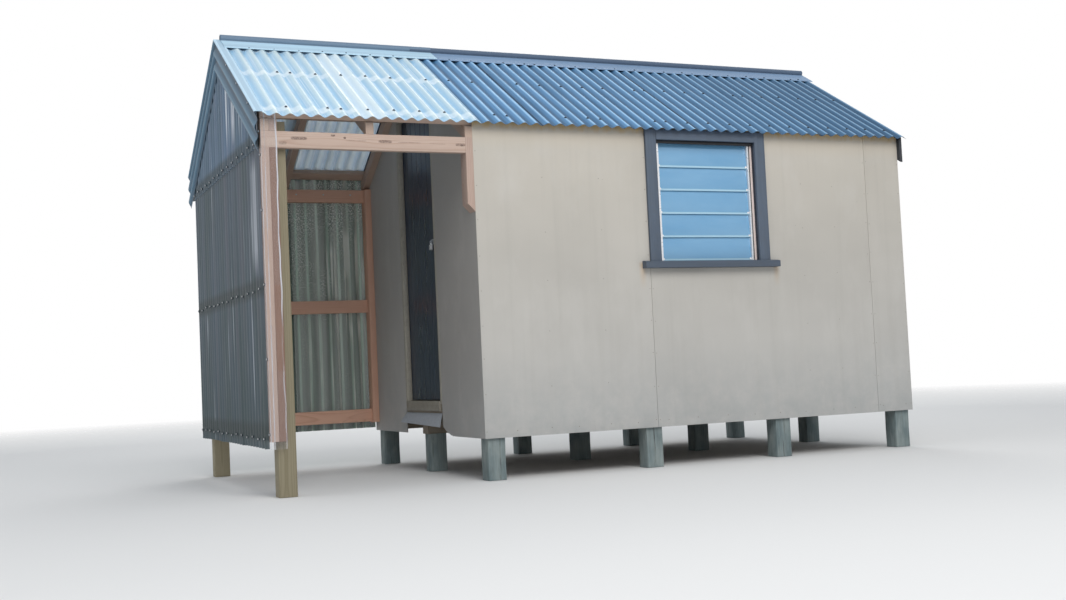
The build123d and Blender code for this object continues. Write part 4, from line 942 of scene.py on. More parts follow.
def build_cladding():
    def foot(u):
        return 0.0

    def eave(u):
        return slope_z(CLADDING / 2, -2 * GAP)

    def gable(u):
        return roof_z(u, -2 * GAP)

    front, back, far, door, nails = Batch(), Batch(), Batch(), Batch(), Batch()
    for x0, x1, seed, hole in ((0.0, 1.121, 0.4, ()), (1.123, 2.769, 1.7, HOLE), (2.771, HUT_LENGTH, 2.9, ())):
        wall_sheet(front, "X", 0.0, -1, x0, x1, foot, eave, seed, hole)
    for x0, x1, seed in ((0.0, 1.199, 3.3), (1.201, 2.399, 4.1), (2.401, HUT_LENGTH, 5.2)):
        wall_sheet(back, "X", HUT_DEPTH, 1, x0, x1, foot, eave, seed)
    for y0, y1, seed in ((CLADDING, RIDGE_Y - 0.001, 6.1), (RIDGE_Y + 0.001, HUT_DEPTH - CLADDING, 7.3)):
        wall_sheet(far, "Y", HUT_LENGTH, 1, y0, y1, foot, gable, seed)
    near_side, far_side, head = DOORWAY
    arc = tuple(round(near_side - 0.215 + 0.0108 * k, 5) for k in range(20))
    # This sheet's low tone darkens it: painted shade
    wall_sheet(door, "Y", 0.0, -1, CLADDING, near_side, broken, gable, 8.2, through=arc, tone=0.28)
    wall_sheet(door, "Y", 0.0, -1, near_side + 0.002, far_side - 0.002, lambda u: head, gable, 9.4, through=(RIDGE_Y,))
    wall_sheet(door, "Y", 0.0, -1, far_side, HUT_DEPTH - CLADDING, foot, gable, 10.5)
    front.build("front_wall_sheets", CREAM, "cream_paint", "front_cladding", sharp=20)
    back.build("back_wall_sheets", CREAM_SHADED, "cream_paint", "back_cladding", sharp=20)
    far.build("far_gable_wall_sheets", CREAM_SHADED, "cream_paint", "far_gable_cladding", sharp=20)
    door.build("door_wall_sheets", CREAM_PORCH_SHADE, "cream_paint", "door_wall_cladding", sharp=20)

    sunk = 0.0006
    for x in (0.012, 1.109, 1.135, 2.757, 2.783, HUT_LENGTH - 0.012):
        for z in np.arange(0.045, 1.78, 0.20):
            nail(nails, (about(x, 0.002), sunk, about(z, 0.01)), (0, -1, 0))
            nail(nails, (x, HUT_DEPTH - sunk, z), (0, 1, 0))
    for x in np.arange(0.2, HUT_LENGTH, 0.2):
        nail(nails, (about(x, 0.02), sunk, about(0.040, 0.006)), (0, -1, 0), 0.003)
        nail(nails, (x, HUT_DEPTH - sunk, 0.040), (0, 1, 0), 0.003)
    for x in (0.43, 0.80, 2.25, 2.50):
        for z in np.arange(0.30, 1.70, 0.30):
            nail(nails, (about(x, 0.004), sunk, about(z, 0.02)), (0, -1, 0))
    for y in (0.03, 0.36, 0.69, 1.445, 1.77, 2.10):
        for z in np.arange(0.12, 1.75, 0.25):
            nail(nails, (sunk, about(y, 0.003), z), (-1, 0, 0))
    for y in (0.03, 0.38, 0.72, RIDGE_Y - 0.014, RIDGE_Y + 0.014, 1.40, 1.75, 2.10):
        for z in np.arange(0.05, roof_z(y) - 0.05, 0.22):
            nail(nails, (HUT_LENGTH - sunk, y, z), (1, 0, 0))
    nails.build("cladding_nails", NAIL_HEADS, "cream_paint")


# Window, doorway and door

def build_window():
    left, right, low, high = WINDOW_LEFT, WINDOW_RIGHT, WINDOW_LOW, WINDOW_HIGH
    casing, lining, sill, bead = Batch(), Batch(), Batch(), Batch()
    head = high + CASING_HEAD
    # The head casing's tone of 1.0 lightens it against the eave's shade: painted light
    for x0, x1, z0, way, tone in ((left - CASING_WIDTH, left, low, "Z", 0.55),
                                  (right, right + CASING_WIDTH, low, "Z", 0.7),
                                  (left + 0.0006, right - 0.0006, high, "X", 1.0)):
        box_board(casing, (x0, -CASING, z0), (x1, 0, head), way, 0.003, tone=tone)
    # The lining's dark paint and low tones: painted shade of the reveal
    for x in (left - LINING, right):
        box_board(lining, (x, 0.0005, HOLE[2]), (x + LINING, WALL, HOLE[3]), "Z", tone=0.15)
    for z in (low - LINING, high):
        box_board(lining, (left, 0.0005, z), (right, WALL, z + LINING), "X", tone=0.1)
    section = np.array([(0.0, -0.045), (-0.0485, -0.045), (-0.050, -0.0435), (-0.050, -0.009), (-0.0485, -0.0072),
                        (-0.022, -0.0006), (0.0, 0.0)])
    y, z = section.mean(axis=0) + (0, low)
    horn = CASING_WIDTH + 0.052
    board(sill, (left - horn, y, z), (right + horn, y, z), (0, 1, 0), section - (y, z - low), tone=0.0, bow=0.0)
    # A near-black bead under the head: partly the frame's dark top rail, partly painted shadow under the head
    box_board(bead, (left, 0.006, high - 0.018), (right, 0.020, high), "X", tone=0.3)
    casing.build("window_casing_boards", BLUE_TRIM, "blue_paint", "window_casing")
    lining.build("window_lining", SHADED_REVEAL_TRIM, "blue_paint", "window_frame")
    sill.build("window_sill_board", BLUE_TRIM, "blue_paint", "window_sill")
    bead.build("window_head_bead_painted_shadow", SEAL, "blue_paint")

    channels, seals, strips, blades = Batch(), Batch(), Batch(), Batch()
    for jamb, way in ((left, 1), (right, -1)):
        for batch, a, b, y0, y1, above, below, edge, tone in (
                (strips, 0.0008, 0.0150, 0.0195, 0.0255, 0.0005, 0.0185, 0.0012, None),
                (channels, 0.0, 0.034, 0.0245, 0.060, 0.0005, 0.0005, 0.0008, 0.5),
                (channels, 0.0215, 0.034, 0.020, 0.026, 0.0005, 0.0005, 0.0008, 0.5),
                (seals, 0.0156, 0.0210, 0.0225, 0.0255, 0.001, 0.001, 0.0008, None)):
            x0, x1 = sorted((jamb + way * a, jamb + way * b))
            box_board(batch, (x0, y0, low + above), (x1, y1, high - below), "Z", edge, tone=tone, bow=0.0)
    tilt = math.radians(4)
    up = Vector((0, math.sin(tilt), math.cos(tilt)))
    gaps = BLADE_COUNT - 1
    rise = (high - low - BLADE_HEIGHT * math.cos(tilt) - BLADE) / gaps
    x0, x1 = left + 0.0343, right - 0.0343
    for number in range(BLADE_COUNT):
        z = low + (high - low - rise * gaps) / 2 + number * rise
        board(blades, (x0, 0.040, z), (x1, 0.040, z), up, rounded(BLADE_HEIGHT, BLADE, 0.0022), 0.5, 0.0,
              (0, number * 0.7))
        for x in (x0 + 0.006, x1 - 0.006):
            clip = Vector((x, 0.0362, z)) - up * 0.075
            board(channels, clip, clip + up * 0.012, (1, 0, 0), rounded(0.012, 0.0022, 0.0006), 0.5, 0.0)
    channels.build("louvre_clip_channels", ALUMINIUM, "aluminium", "louvre_channels")
    seals.build("louvre_seals", SEAL, "aluminium")
    strips.build("louvre_side_strips", IVORY, "aluminium")
    blades.build("louvre_glass_blades", BLADE_GLASS, "louvre_glass", "louvre_blades")


def build_doorway():
    jambs, sill, flap = Batch(), Batch(), Batch()
    stop = 0.010
    for y, stop_y in ((DOORWAY[0], NEAR_JAMB), (FAR_JAMB, FAR_JAMB - stop)):
        box_board(jambs, (0.0, y, FLOOR_TOP), (WALL, y + JAMB, DOORWAY[2]), "Z", 0.002, tone=0.6)
        box_board(jambs, (0.0005, stop_y, FLOOR_TOP), (0.032, stop_y + stop, DOOR_HEAD), "Z", 0.002, tone=0.5)
    near, far = NEAR_JAMB + stop, FAR_JAMB - stop
    box_board(jambs, (0.0, NEAR_JAMB, DOOR_HEAD), (WALL, FAR_JAMB, DOORWAY[2]), "Y", tone=0.4)
    box_board(jambs, (0.0005, near, DOOR_HEAD - stop), (0.032, far, DOOR_HEAD), "Y", tone=0.4)
    near, far = near + 0.0005, far - 0.0005
    box_board(sill, (CLADDING, near, FLOOR_TOP), (WALL, far, 0.212), "Y", 0.002)
    box_board(sill, (-0.008, near, 0.150), (CLADDING, far, 0.212), "Y", 0.003, tone=0.7)
    share, fall = np.meshgrid(np.linspace(0, 1, 24), np.linspace(0, 1, 7), indexing="ij")
    y = RIDGE_Y - 0.3425 + 0.685 * share
    z = 0.136 - (0.086 - 0.023 * share) * fall
    curl = 0.003 * np.sin(math.pi * fall) + 0.0012 * np.sin(share * 9) * fall
    x = 0.0045 - (0.018 + 0.032 * share) * fall - curl * (0.4 + share)
    points = [np.stack([x - thick, y, z], -1) for thick in (0.0, 0.0012)]
    flap.add(points, shell_faces(*share.shape), [np.stack([y, z, 0 * y + 2.0], -1)] * 2, 0.8)
    jambs.build("door_jambs", CREAM_TRIM, "cream_paint", "door_frame")
    sill.build("door_sill", WORN_TRIM, "grey_timber", "door_threshold")
    flap.build("threshold_flap_sheet", FLAP_STEEL, "roof_steel", "threshold_flap")


DOOR_FACE, DOOR_BACK = 0.037, 0.059


def build_door():
    near, far, low, high = 0.740, 1.397, 0.218, 2.0781
    leaf, ledges, nails = Batch(), Batch(), Batch()
    count, groove = 7, 0.0035
    width = (far - near) / count
    half, deep, middle = width / 2, (DOOR_BACK - DOOR_FACE) / 2, (DOOR_FACE + DOOR_BACK) / 2
    right = [(half - groove, deep), (half - 0.0002, deep - groove), (half - 0.0002, -deep)]
    section = [(-a, b) for a, b in reversed(right)] + right
    for number in range(count):
        y = near + number * width + half
        board(leaf, (middle, y, low), (middle, y, high), (0, 1, 0), section, bow=0.0)
    levels = (low + 0.230, (low + high) / 2, high - 0.230)
    for z in levels:
        box_board(ledges, (DOOR_BACK, near + 0.025, z - 0.055), (0.088, far - 0.025, z + 0.055), "Y", 0.005)
    for z in levels:
        for number in range(count):
            y = near + (number + 0.5) * width
            for nail_z in (z - 0.028, z + 0.028):
                nail(nails, (DOOR_FACE + 0.0002, about(y, 0.008), nail_z), (-1, 0, 0), 0.003)
    leaf.build("door_boards", DOOR, "door_paint", "door_leaf", "door")
    ledges.build("door_ledge_boards", DOOR, "door_paint", "door_ledges", "door")
    nails.build("door_nails", DARK_TRIM, "door_paint", body="door")


def build_ironwork():
    hinges, plates, latch, lock = Batch(), Batch(), Batch(), Batch()
    pin_x, pin_y, back = 0.0965, FAR_JAMB - 0.0025, 0.088
    section = [(-0.0002, -0.017), (0.0036, -0.017), (0.004, -0.0166),
               (0.004, 0.0166), (0.0036, 0.017), (-0.0002, 0.017)]
    for z in (0.448, 1.8481):
        for low, high, batch in ((-0.012, 0.012, hinges), (-0.0363, -0.0123, plates), (0.0123, 0.0363, plates)):
            turned(batch, (pin_x, pin_y, z + low), (0, 0, 1),
                   [(0.0050, 0), (0.0058, 0.001), (0.0058, high - low - 0.001), (0.0050, high - low)], 20)
        for end, way in ((-0.0363, -1), (0.0363, 1)):
            turned(plates, (pin_x, pin_y, z + end), (0, 0, way),
                   [(0.0036, -0.0008), (0.0036, 0.0004), (0.0024, 0.0012)], 16)
        strap = ((0.260, 0.55), (0.252, 0.86), (0.240, 1.0), (0.0075, 1.0))
        hinges.add([(back + a, pin_y - reach, z + b * wide) for reach, wide in strap for a, b in section],
                   ring_faces(len(strap), len(section)))
        box_board(hinges, (back, pin_y - 0.0075, z - 0.0116), (0.0915, pin_y - 0.0005, z + 0.0116), "Y", 0.0005)
        for reach in (0.225, 0.160, 0.095, 0.035):
            turned(hinges, (0.0918, pin_y - reach, z), (1, 0, 0),
                   [(0.0058, -0.001), (0.0055, 0.0012), (0.0030, 0.0024)], 14)
        box_board(plates, (0.0901, FAR_JAMB + 0.0042, z - 0.0360), (0.093, FAR_JAMB + 0.045, z + 0.0360), "Z", 0.0008)
        for screw_z in (z - 0.024, z, z + 0.024):
            turned(plates, (0.0928, FAR_JAMB + 0.030, screw_z), (1, 0, 0),
                   [(0.0050, -0.001), (0.0048, 0.0008), (0.0022, 0.0016)], 14)

    z, near, face = 1.218, 0.760, DOOR_FACE
    turns = [(0.010 * math.cos(a), 0.010 * math.sin(a)) for a in np.linspace(-math.pi / 2, math.pi / 2, 9)]
    outline = [(near, z - 0.017), *((near + 0.130 + a, z - 0.007 + b) for a, b in turns[:5]),
               *((near + 0.130 + a, z + 0.007 + b) for a, b in turns[4:]), (near, z + 0.017)]
    inset = [(y + math.copysign(0.0008, near + 0.070 - y), z + (w - z) * 0.955) for y, w in outline]
    rings = ((face + 0.0002, outline), (face - 0.0024, outline), (face - 0.003, inset))
    latch.add([(x, *point) for x, ring in rings for point in ring], ring_faces(3, len(outline)))
    tube(latch, [(face - 0.0035, near + 0.040, z + end) for end in (-0.0172, 0.0172)], 0.0030)
    for y in (near + 0.010, near + 0.028):
        for rivet_z in (z - 0.009, z + 0.009):
            turned(latch, (face - 0.0028, y, rivet_z), (-1, 0, 0),
                   [(0.0038, -0.001), (0.0036, 0.001), (0.0018, 0.0018)], 12)
    eye_y = near + 0.101
    staple = ((0.002, -0.009), (0.012, -0.009), (0.0185, -0.0075), (0.0205, 0),
              (0.0185, 0.0075), (0.012, 0.009), (0.002, 0.009))
    tube(latch, [(face - out, eye_y + side, z) for out, side in staple], 0.0028)
    x, y, top, bend = face - 0.010, eye_y + 0.009, z - 0.016, z - 0.0025
    box_board(lock, (x - 0.007, y - 0.019, top - 0.032), (x + 0.007, y + 0.019, top), "Z", 0.003)
    box_board(lock, (x - 0.0076, y - 0.016, top - 0.026), (x + 0.0076, y + 0.016, top - 0.006), "Z", 0.001)
    arch = [(x, y - 0.009 * math.cos(a), bend + 0.009 * math.sin(a)) for a in np.linspace(0, math.pi, 11)]
    tube(lock, [(x, y - 0.009, top - 0.004), *arch, (x, y + 0.009, top - 0.004)], 0.0025)
    hinges.build("strap_hinges", ZINC, "zinc_steel", "door_hinges", "door")
    plates.build("hinge_wall_plates", ZINC, "zinc_steel", "hinge_plates")
    latch.build("hasp_and_staple", HASP_STEEL, "zinc_steel", "door_latch", "door")
    lock.build("padlock", ALUMINIUM, "zinc_steel", body="door")


# Roof timber and porch frame

def sloping(batch, corners, x0, x1, back):
    """A sloping timber from its side outline, with eased long edges."""
    ease = 0.002
    centre = np.mean(corners, axis=0)
    points = []
    for x, inset in ((x0, ease), (x0 + ease, 0), (x1 - ease, 0), (x1, ease)):
        for y, z in corners:
            away = np.array((y, z)) - centre
            away = away / np.abs(away).max()
            points.append((x, y - inset * away[0] * 0.5, z - inset * np.sign(away[1])))
    seed = rng.uniform(0, 20)
    x, y, z = np.transpose(points)
    run, across = y * COS + (z - SEAT) * SIN, (z - SEAT) * COS - y * SIN
    grain = np.stack([run + seed, across + 0.03 + seed % 0.05, x - x0 + 0.02], -1)
    points = np.stack([x, HUT_DEPTH - y if back else y, z], -1)
    batch.add(points, ring_faces(4, len(corners)), grain, rng.uniform(0.3, 0.7))


def build_roof_timber():
    rafters, ridges, barges = Batch(), Batch(), Batch()
    ridge = RIDGE_Y - RIDGE_BOARD / 2
    for x, y in ((END, 0.0), ((END - STUD) / 2, 0.0), (-STUD, 0.0), (1.0805, CLADDING), (2.0085, CLADDING)):
        notch = max((PLATE - slope_z(0, RAFTER_LOW)) / TAN, y + 0.001)
        corners = [(y, PLATE), (notch, PLATE), (ridge, slope_z(ridge, RAFTER_LOW)),
                   (ridge, slope_z(ridge, RAFTER_TOP)), (y, slope_z(y, RAFTER_TOP))]
        for back in (False, True):
            sloping(rafters, corners, x, x + STUD, back)
    top = slope_z(ridge, RAFTER_TOP)
    for x0, x1 in ((END, 0.0), (WALL, HUT_LENGTH - WALL)):
        box_board(ridges, (x0, ridge, top - 0.140), (x1, RIDGE_Y + RIDGE_BOARD / 2, top), "X")
    rafters.build("roof_rafters", PINE, "pine", "rafters")
    ridges.build("ridge_timbers", PINE, "pine", "ridge_boards")
    for name, node, x0, x1, first in (
            ("hut_purlin_timbers", "hut_purlins", CLADDING, HUT_LENGTH - CLADDING, 0.0063 / COS),
            ("porch_purlin_timbers", "porch_purlins", END, 0.0, 0.0)):
        purlins = Batch()
        for run in (first, *PURLINS[1:]):
            for back in (False, True):
                start, end = (on_slope(x, -GAP - PURLIN / 2, run + PURLIN_WIDTH / 2, back) for x in (x0, x1))
                board(purlins, start, end, (0, -COS if back else COS, SIN),
                      rounded(PURLIN_WIDTH, PURLIN, 0.002), bow=0.0)
        purlins.build(name, PINE, "pine", node)
    foot, ridge = -EAVE / 2, RIDGE_Y - 0.0005
    corners = [(foot, slope_z(foot, -2 * GAP - BARGE_DEPTH)), (ridge, slope_z(ridge, -2 * GAP - BARGE_DEPTH)),
               (ridge, slope_z(ridge, -2 * GAP)), (foot, slope_z(foot, -2 * GAP))]
    for back in (False, True):
        sloping(barges, corners, HUT_LENGTH, HUT_LENGTH + 0.020, back)
    barges.build("verge_barge_boards", DARK_TRIM, "dark_paint", "far_barge_boards")


def build_porch_frame():
    posts, pale, red, door_stud, header, back_rails, end_rails = (Batch() for _ in range(7))
    x, back_y, bottom = END + STUD, HUT_DEPTH - STUD, PLATE - RAIL
    for y in (STUD, back_y - POST):
        box_board(posts, (x, y, GROUND), (x + POST, y + POST, PLATE + 0.060), "Z", 0.006, bow=0.001)
    for batch, x, tone in ((pale, END, 0.75), (red, END + STUD + GAP, 0.25)):
        box_board(batch, (x, 0, FRAME_FOOT), (x + STUD, STUD, bottom), "Z", tone=tone, bow=0.0006)
        box_board(batch, (x, back_y, FRAME_FOOT), (x + STUD, HUT_DEPTH, bottom), "Z", bow=0.0006)
    corners = [(0, PLATE), (STUD, PLATE), (STUD, slope_z(STUD, RAFTER_TOP)), (0, slope_z(0, RAFTER_TOP))]
    for back in (False, True):
        sloping(pale, corners, x, x + STUD, back)
    box_board(door_stud, (-STUD, HUT_DEPTH - RAIL, FRAME_FOOT), (0, HUT_DEPTH, PLATE), "Z")
    board(pale, (-STUD / 2, STUD, PLATE - 0.428 + STUD / 2), (-STUD / 2, STUD, PLATE), (0, 1, 0),
          rounded(RAIL, STUD, 0.002), tone=0.8, cut=(1, 0, 1))
    box_board(header, (END, 0, bottom), (-STUD, STUD, PLATE), "X", tone=0.85, pith=(0.02, 0.05))
    for top, start in zip(RAIL_TOPS, (END, END + 2 * STUD + GAP, END + 2 * STUD + GAP)):
        box_board(back_rails, (start, back_y, top - RAIL), (-STUD, HUT_DEPTH, top), "X")
    for top in RAIL_TOPS:
        box_board(end_rails, (END, STUD, top - RAIL), (END + STUD, back_y, top), "Y")
    posts.build("porch_corner_posts", TREATED, "treated_pine", "porch_posts")
    door_stud.build("door_wall_stud", LIT_RAIL_PINE, "pine")
    pale.build("pale_studs", STUD_PINE, "pine", "porch_studs")
    red.build("red_studs", RED_PINE, "pine")
    header.build("header_timber", HEADER_PINE, "pine", "header_rail")
    back_rails.build("back_rail_timbers", LIT_RAIL_PINE, "pine", "porch_back_rails")
    end_rails.build("end_rail_timbers", PINE, "pine", "porch_end_rails")


# Sheets

def build_sheets():
    run = np.linspace((0.0005 - EAVE) / COS, SLOPE - RIDGE_GAP, 9)
    for name, node, back, seed in (("front_steel_sheets", "front_roof_sheets", False, 18),
                                   ("back_steel_sheets", "back_roof_sheets", True, 17)):
        steel = Batch()
        # An edge of 1.5 darkens each sheet's long edges: painted lap shadow
        lapped_sheets(steel, STEEL_CUTS, -CORR / 2, HUT_LENGTH + VERGE, run,
                      partial(on_slope, back=back), seed, edge=1.5)
        steel.build(name, STEEL, "roof_steel", node)
    clear, walls, gable, back_wall, wraps, strips = (Batch() for _ in range(6))
    for back, seed in ((False, 0.5), (True, 5.5)):
        # An edge of -1 brightens each clear sheet's long edges: painted highlight
        lapped_sheets(clear, CLEAR_CUTS, END, CORR / 2, run, partial(on_slope, back=back), seed, CLEAR_REACH, -1.0)

    def end_lines(across, number):
        foot = SHEET_FOOT + 0.004 * np.abs(np.sin(across * 3.7 + number)) + 0.002 * np.abs(np.sin(across * 41))
        return np.linspace(foot, PLATE - 0.013, 13, axis=1)

    def gable_lines(across, number):
        return np.linspace(PLATE - 0.088, [roof_z(place, CREST) for place in across], 8, axis=1)

    def end_point(a, h, z, off=GAP):
        return np.stack([END - off - h, a, z], -1)

    margin = 0.034 + 2 * GAP
    lapped_sheets(walls, END_CUTS, margin, HUT_DEPTH - margin, end_lines, end_point, 11)
    lapped_sheets(gable, END_CUTS, 0.0, HUT_DEPTH, gable_lines, partial(end_point, off=GAP + 2 * LIFT), 15)
    lapped_sheets(back_wall, BACK_CUTS, END + 0.090 + GAP, 0.0, np.linspace(SHEET_FOOT, SEAT - 0.022, 13),
                  lambda a, h, z: np.stack([a, HUT_DEPTH + GAP + h, z], -1), 19)
    for back in (False, True):
        wrap_strip(wraps, back)

        def strip_point(a, h, y):
            z = slope_z(y, CREST + GAP + SHEET - a)
            return np.stack([STRIP_FACE - h, HUT_DEPTH - y if back else y, z], -1)

        # An edge of -0.5 brightens the strip's long edges: painted highlight
        wave_sheet(strips, fold_section(END + 0.012 - STRIP_FACE), np.linspace(0.0005 - EAVE, RIDGE_Y - 0.0005, 12),
                   strip_point, seed=23 + back, bow=0.0, edge=-0.5)
    clear.build("porch_clear_roof", CLEAR_ROOF, "clear_sheet", "porch_roof_sheets")
    walls.build("porch_end_clear_sheets", CLEAR_END, "clear_sheet", "end_sheets")
    wraps.build("porch_corner_wraps", CLEAR_WRAP, "clear_sheet")
    gable.build("porch_gable_clear_sheets", CLEAR_GABLE, "clear_sheet", "gable_sheets")
    back_wall.build("porch_back_clear_sheets", CLEAR_BACK, "clear_sheet", "porch_back_sheets")
    strips.build("gable_edge_strips", CLEAR_EDGE, "clear_sheet", "barge_strips")


STRIP_FACE = END - GAP - CREST - 3 * LIFT - GAP


def fold_section(inner):
    """Section of the strip on the gable's slope: a flat part over the roof's last crest, a fold,
    and two and a half corrugations below it."""
    bend = 0.004
    start = bend
    for _ in range(20):
        lean = math.atan(math.pi * DEPTH / CORR * math.sin(2 * math.pi * start / CORR))
        start = bend + SHEET / 2 + bend * math.sin(lean)
    wave = wave_section(0, 5, 0, start, 5 * CORR / 2)
    centre = wave[1][0] - bend * math.cos(lean)
    turns = np.linspace(-math.pi / 2, lean, 8)[:-1]
    # Tones of 1.85 and 2.4 paint a highlight on the flat part and the fold
    flat = (np.full(4, SHEET / 2), np.linspace(-inner, centre, 5)[:-1], np.full(4, -math.pi / 2), np.full(4, 1.85))
    fold = (bend + SHEET / 2 + bend * np.sin(turns), centre + bend * np.cos(turns), turns, np.full(7, 2.4))
    return [np.concatenate(parts) for parts in zip(flat, fold, wave)]


def wrap_strip(batch, back):
    """A strip of clear sheet folded round a corner of the porch, rippled at its free edge."""
    x, y = END - GAP - SHEET, -GAP - SHEET
    # The path's tones set painted highlights at the fold and the free edge
    path = [(x, 0.034, 0.9), (x, 0.029, 0.2), (x, 0.012, 0.0), (x, y + 0.003, 0.5), (x + 0.0008, y + 0.0008, 1.0)]
    bent, rows = len(path), 40
    path += [(x + 0.003, y, 0.6)] + [(END + reach, y, tone) for reach, tone in (
        (0.006, 0.1), (0.016, 0.1), (0.019, 0.9), (0.022, 0.9), (0.025, 0.1), (0.045, 0.0), (0.070, 0.0), (0.080, 0.2),
        (0.084, 1.0), (0.0895, 1.0))]
    points = []
    for inward in (0.0, SHEET * 0.98):
        for k, (x, y, _) in enumerate(path):
            z = np.linspace(SHEET_FOOT, PLATE - RAIL if k < bent else slope_z(-GAP - SHEET, -2 * GAP), rows)
            ripple = 0.0022 * np.sin(z * 9 + 3 * back) + 0.0014 * np.sin(z * 31) - 0.0036
            side = y + inward * (k > bent - 2)
            points.append(np.stack([x + inward * (k < bent) + ripple * (k >= len(path) - 4),
                                    0 * z + (HUT_DEPTH - side if back else side), z], -1))
    x, y, z = np.moveaxis(np.array(points), -1, 0)
    light_tones = np.repeat([tone for _, _, tone in path], rows)
    batch.add(points, shell_faces(len(path), rows), np.stack([x + y, z, 0 * z + 3.3], -1), [light_tones, light_tones])


def build_caps():
    """The roll-top ridge capping in two lengths, the porch's over the hut's and curled at its end."""
    thick, radius = 0.001, 0.021
    for name, material, x0, x1, lift in (("ridge_capping", CAP_STEEL, 0.0, HUT_LENGTH + VERGE, 0.0),
                                         ("porch_ridge_capping", PORCH_CAP_STEEL, END, 0.143, 0.0016)):
        caps = Batch()
        seat = CREST + LIFT + GAP + lift
        middle = slope_z(RIDGE_Y, seat) + radius / 3
        upper = thick / COS
        wing = (SLOPE - 0.150) * COS - seat * SIN
        for meet in np.linspace(RIDGE_Y - 0.030, RIDGE_Y, 200, endpoint=False):
            off_y, off_z = meet - RIDGE_Y, slope_z(meet, seat) + upper - middle
            if off_y ** 2 + off_z ** 2 <= radius ** 2:
                break
        line = [(wing, slope_z(wing, seat) - 0.003)]
        line += [(y, slope_z(y, seat)) for y in (wing + 0.002, *np.linspace(wing + 0.006, meet - 0.002, 7))]
        line += [(RIDGE_Y + (radius - thick) * math.cos(a), middle + (radius - thick) * math.sin(a))
                 for a in np.linspace(math.atan2(off_z, off_y) % (2 * math.pi), math.pi / 2, 9)]
        lower = np.array(line + [(HUT_DEPTH - y, z) for y, z in reversed(line[:-1])])
        tangent = np.gradient(lower, axis=0)
        normal = tangent[:, ::-1] * (-1, 1) / np.linalg.norm(tangent, axis=1)[:, None]
        stations = np.linspace(x0, x1, max(3, round((x1 - x0) / 0.12)))
        points, grain = [], []
        for surface in (lower + normal * thick, lower):
            travel = np.cumsum([0, *np.linalg.norm(np.diff(surface, axis=0), axis=1)])
            x, y, z, travel = np.broadcast_arrays(stations, *surface.T[:, :, None], travel[:, None])
            curl = np.maximum(0, np.abs(y - RIDGE_Y) - 0.03) / 0.1 * np.maximum(0, (x - x1 + 0.16) / 0.16)
            points.append(np.stack([x, y, z + lift * 3.0 * curl], -1))
            grain.append(np.stack([travel, x * 0.3, 0 * x + lift * 1000 + 4.0], -1))
        off = np.abs(lower[:, 0] - RIDGE_Y)
        # Tones paint a highlight on the roll's top and shade on its sides: painted light and shade
        light_tones = np.repeat(np.where(off < 0.009, 1.0, np.where(off < 0.024, 0.0, 0.74)), len(stations))
        caps.add(points, shell_faces(len(lower), len(stations)), grain, [light_tones, light_tones])
        caps.build(name, material, "roof_steel", "ridge_caps")


def build_screws():
    heads, washers, bright = Batch(), Batch(), Batch()
    for back in (False, True):
        normal = (0, SIN if back else -SIN, COS)
        for cuts, low, high, first in ((STEEL_CUTS, 0.02, HUT_LENGTH + 0.03, 1), (CLEAR_CUTS, END + 0.01, -0.02, 0)):
            for run in (0.040, MID_PURLIN + PURLIN_WIDTH / 2, SLOPE - 0.135):
                for number in screw_crests(low, high, first):
                    lift = lift_at(number, cuts)
                    number += int(rng.integers(0, 4) == 0)
                    spot = on_slope(about(number * CORR, 0.002), CREST + lift, about(run, 0.008), back)
                    if lift_at(number, cuts) == lift:
                        roof_screw(heads, washers, spot, normal)
    for row, off in ((0.879, 0), (0.079, 0), (1.668, 2 * LIFT)):
        for number in screw_crests(0.05, HUT_DEPTH - 0.05, 1):
            x = END - GAP - CREST - lift_at(number, END_CUTS) - off
            roof_screw(bright, washers, (x, number * CORR, about(row, 0.008)), (-1, 0, 0))
    for row in (0.90, 0.115, 1.69):
        for number in screw_crests(END + 0.11, -0.03, 0):
            y = HUT_DEPTH + GAP + CREST + lift_at(number, BACK_CUTS)
            roof_screw(bright, washers, (number * CORR, y, about(row, 0.006)), (0, 1, 0))
    for row in (0.10, 0.50, 0.90, 1.30, 1.60):
        roof_screw(bright, washers, (END - GAP - SHEET, 0.018, row), (-1, 0, 0))
    for x in (-0.534, -0.339, -0.141):
        turned(bright, (x, HUT_DEPTH - STUD, 1.692), (0, -1, 0), [(0.0062, -0.001), (0.0060, 0.0025), (0.0035, 0.0042)])
    for back in (False, True):
        for y in (0.17, 0.46, 0.75):
            spot = (STRIP_FACE - SHEET, HUT_DEPTH - y if back else y, slope_z(y, CREST + GAP + SHEET - CORR / 2))
            roof_screw(bright, washers, spot, (-1, 0, 0))
    heads.build("roof_screw_heads", DARK_HEAD, "zinc_steel")
    bright.build("wall_screw_heads", ZINC, "zinc_steel")
    washers.build("roof_screw_washers", WASHER, "zinc_steel")


# Stage

def lamp(name, where, target, size, power, color):
    data = bpy.data.lights.new(name, "AREA")
    data.shape, data.size, data.energy, data.color = "DISK", size, power, color
    made = bpy.data.objects.new(name, data)
    bpy.context.scene.collection.objects.link(made)
    made.location = where
    made.rotation_mode = "QUATERNION"
    made.rotation_quaternion = (Vector(target) - Vector(where)).to_track_quat("-Z", "Y")


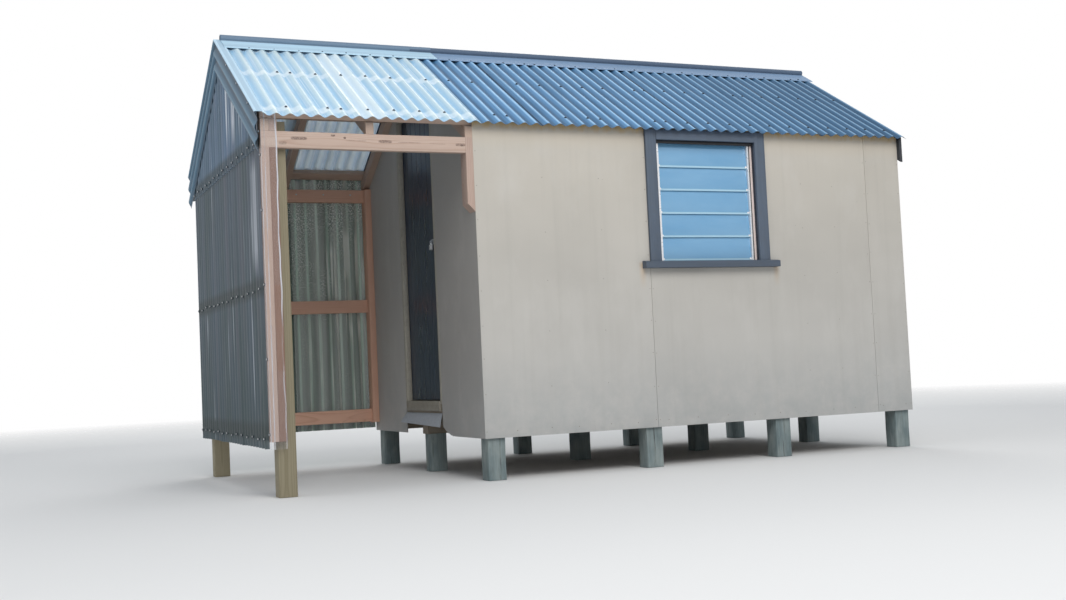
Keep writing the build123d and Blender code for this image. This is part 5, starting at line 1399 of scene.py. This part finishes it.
def build_stage():
    reach = 60.0
    mesh = bpy.data.meshes.new("studio_floor")
    mesh.from_pydata([(reach * a, reach * b, -0.002) for a, b in ((-1, -1), (1, -1), (1, 1), (-1, 1))],
                     [], [(0, 1, 2, 3)])
    floor = bpy.data.objects.new("studio_floor", mesh)
    bpy.context.scene.collection.objects.link(floor)
    s = Shade("studio_floor")
    away = s.vector("LENGTH", "Value", s.place())
    mesh.materials.append(s.set(color=(0.80, 0.80, 0.80), rough=0.9, specular=0.1,
                                alpha=s.level(away, 7.0, 16.0, 1.0, 0.0)))

    world = bpy.data.worlds.new("studio")
    bpy.context.scene.world = world
    world.use_nodes = True
    tree = world.node_tree
    tree.nodes.clear()
    output, mix, light, white, path, either, seen = (tree.nodes.new("ShaderNode" + kind) for kind in (
        "OutputWorld", "MixShader", "Background", "Background", "LightPath", "Math", "Math"))
    for background, color, strength in ((light, (0.90, 0.95, 1.0, 1), 0.50), (white, (1, 1, 1, 1), 1.0)):
        background.inputs["Color"].default_value = color
        background.inputs["Strength"].default_value = strength
    either.operation = seen.operation = "MAXIMUM"
    for source, target in ((path.outputs["Is Camera Ray"], either.inputs[0]), (either.outputs[0], seen.inputs[0]),
                           (path.outputs["Is Glossy Ray"], either.inputs[1]), (seen.outputs[0], mix.inputs["Fac"]),
                           (path.outputs["Is Transmission Ray"], seen.inputs[1]), (light.outputs[0], mix.inputs[1]),
                           (white.outputs[0], mix.inputs[2]), (mix.outputs[0], output.inputs["Surface"])):
        tree.links.new(source, target)
    lamp("key", (-1.5, -9.0, 8.0), (0.3, 0, 1.2), 7.0, 650, (1.0, 0.985, 0.965))
    lamp("fill", (-9.0, -1.0, 5.0), (0, 0, 1.2), 6.0, 60, (0.95, 0.98, 1.0))
    lamp("rear", (4.0, 9.0, 7.0), (0, 0, 1.2), 7.0, 330, (1.0, 0.99, 0.97))


for build in (build_base, build_walls, build_cladding, build_window, build_doorway, build_door, build_ironwork,
              build_roof_timber, build_porch_frame, build_sheets, build_caps, build_screws, build_stage):
    build()
bpy.context.scene.view_settings.view_transform = "Standard"
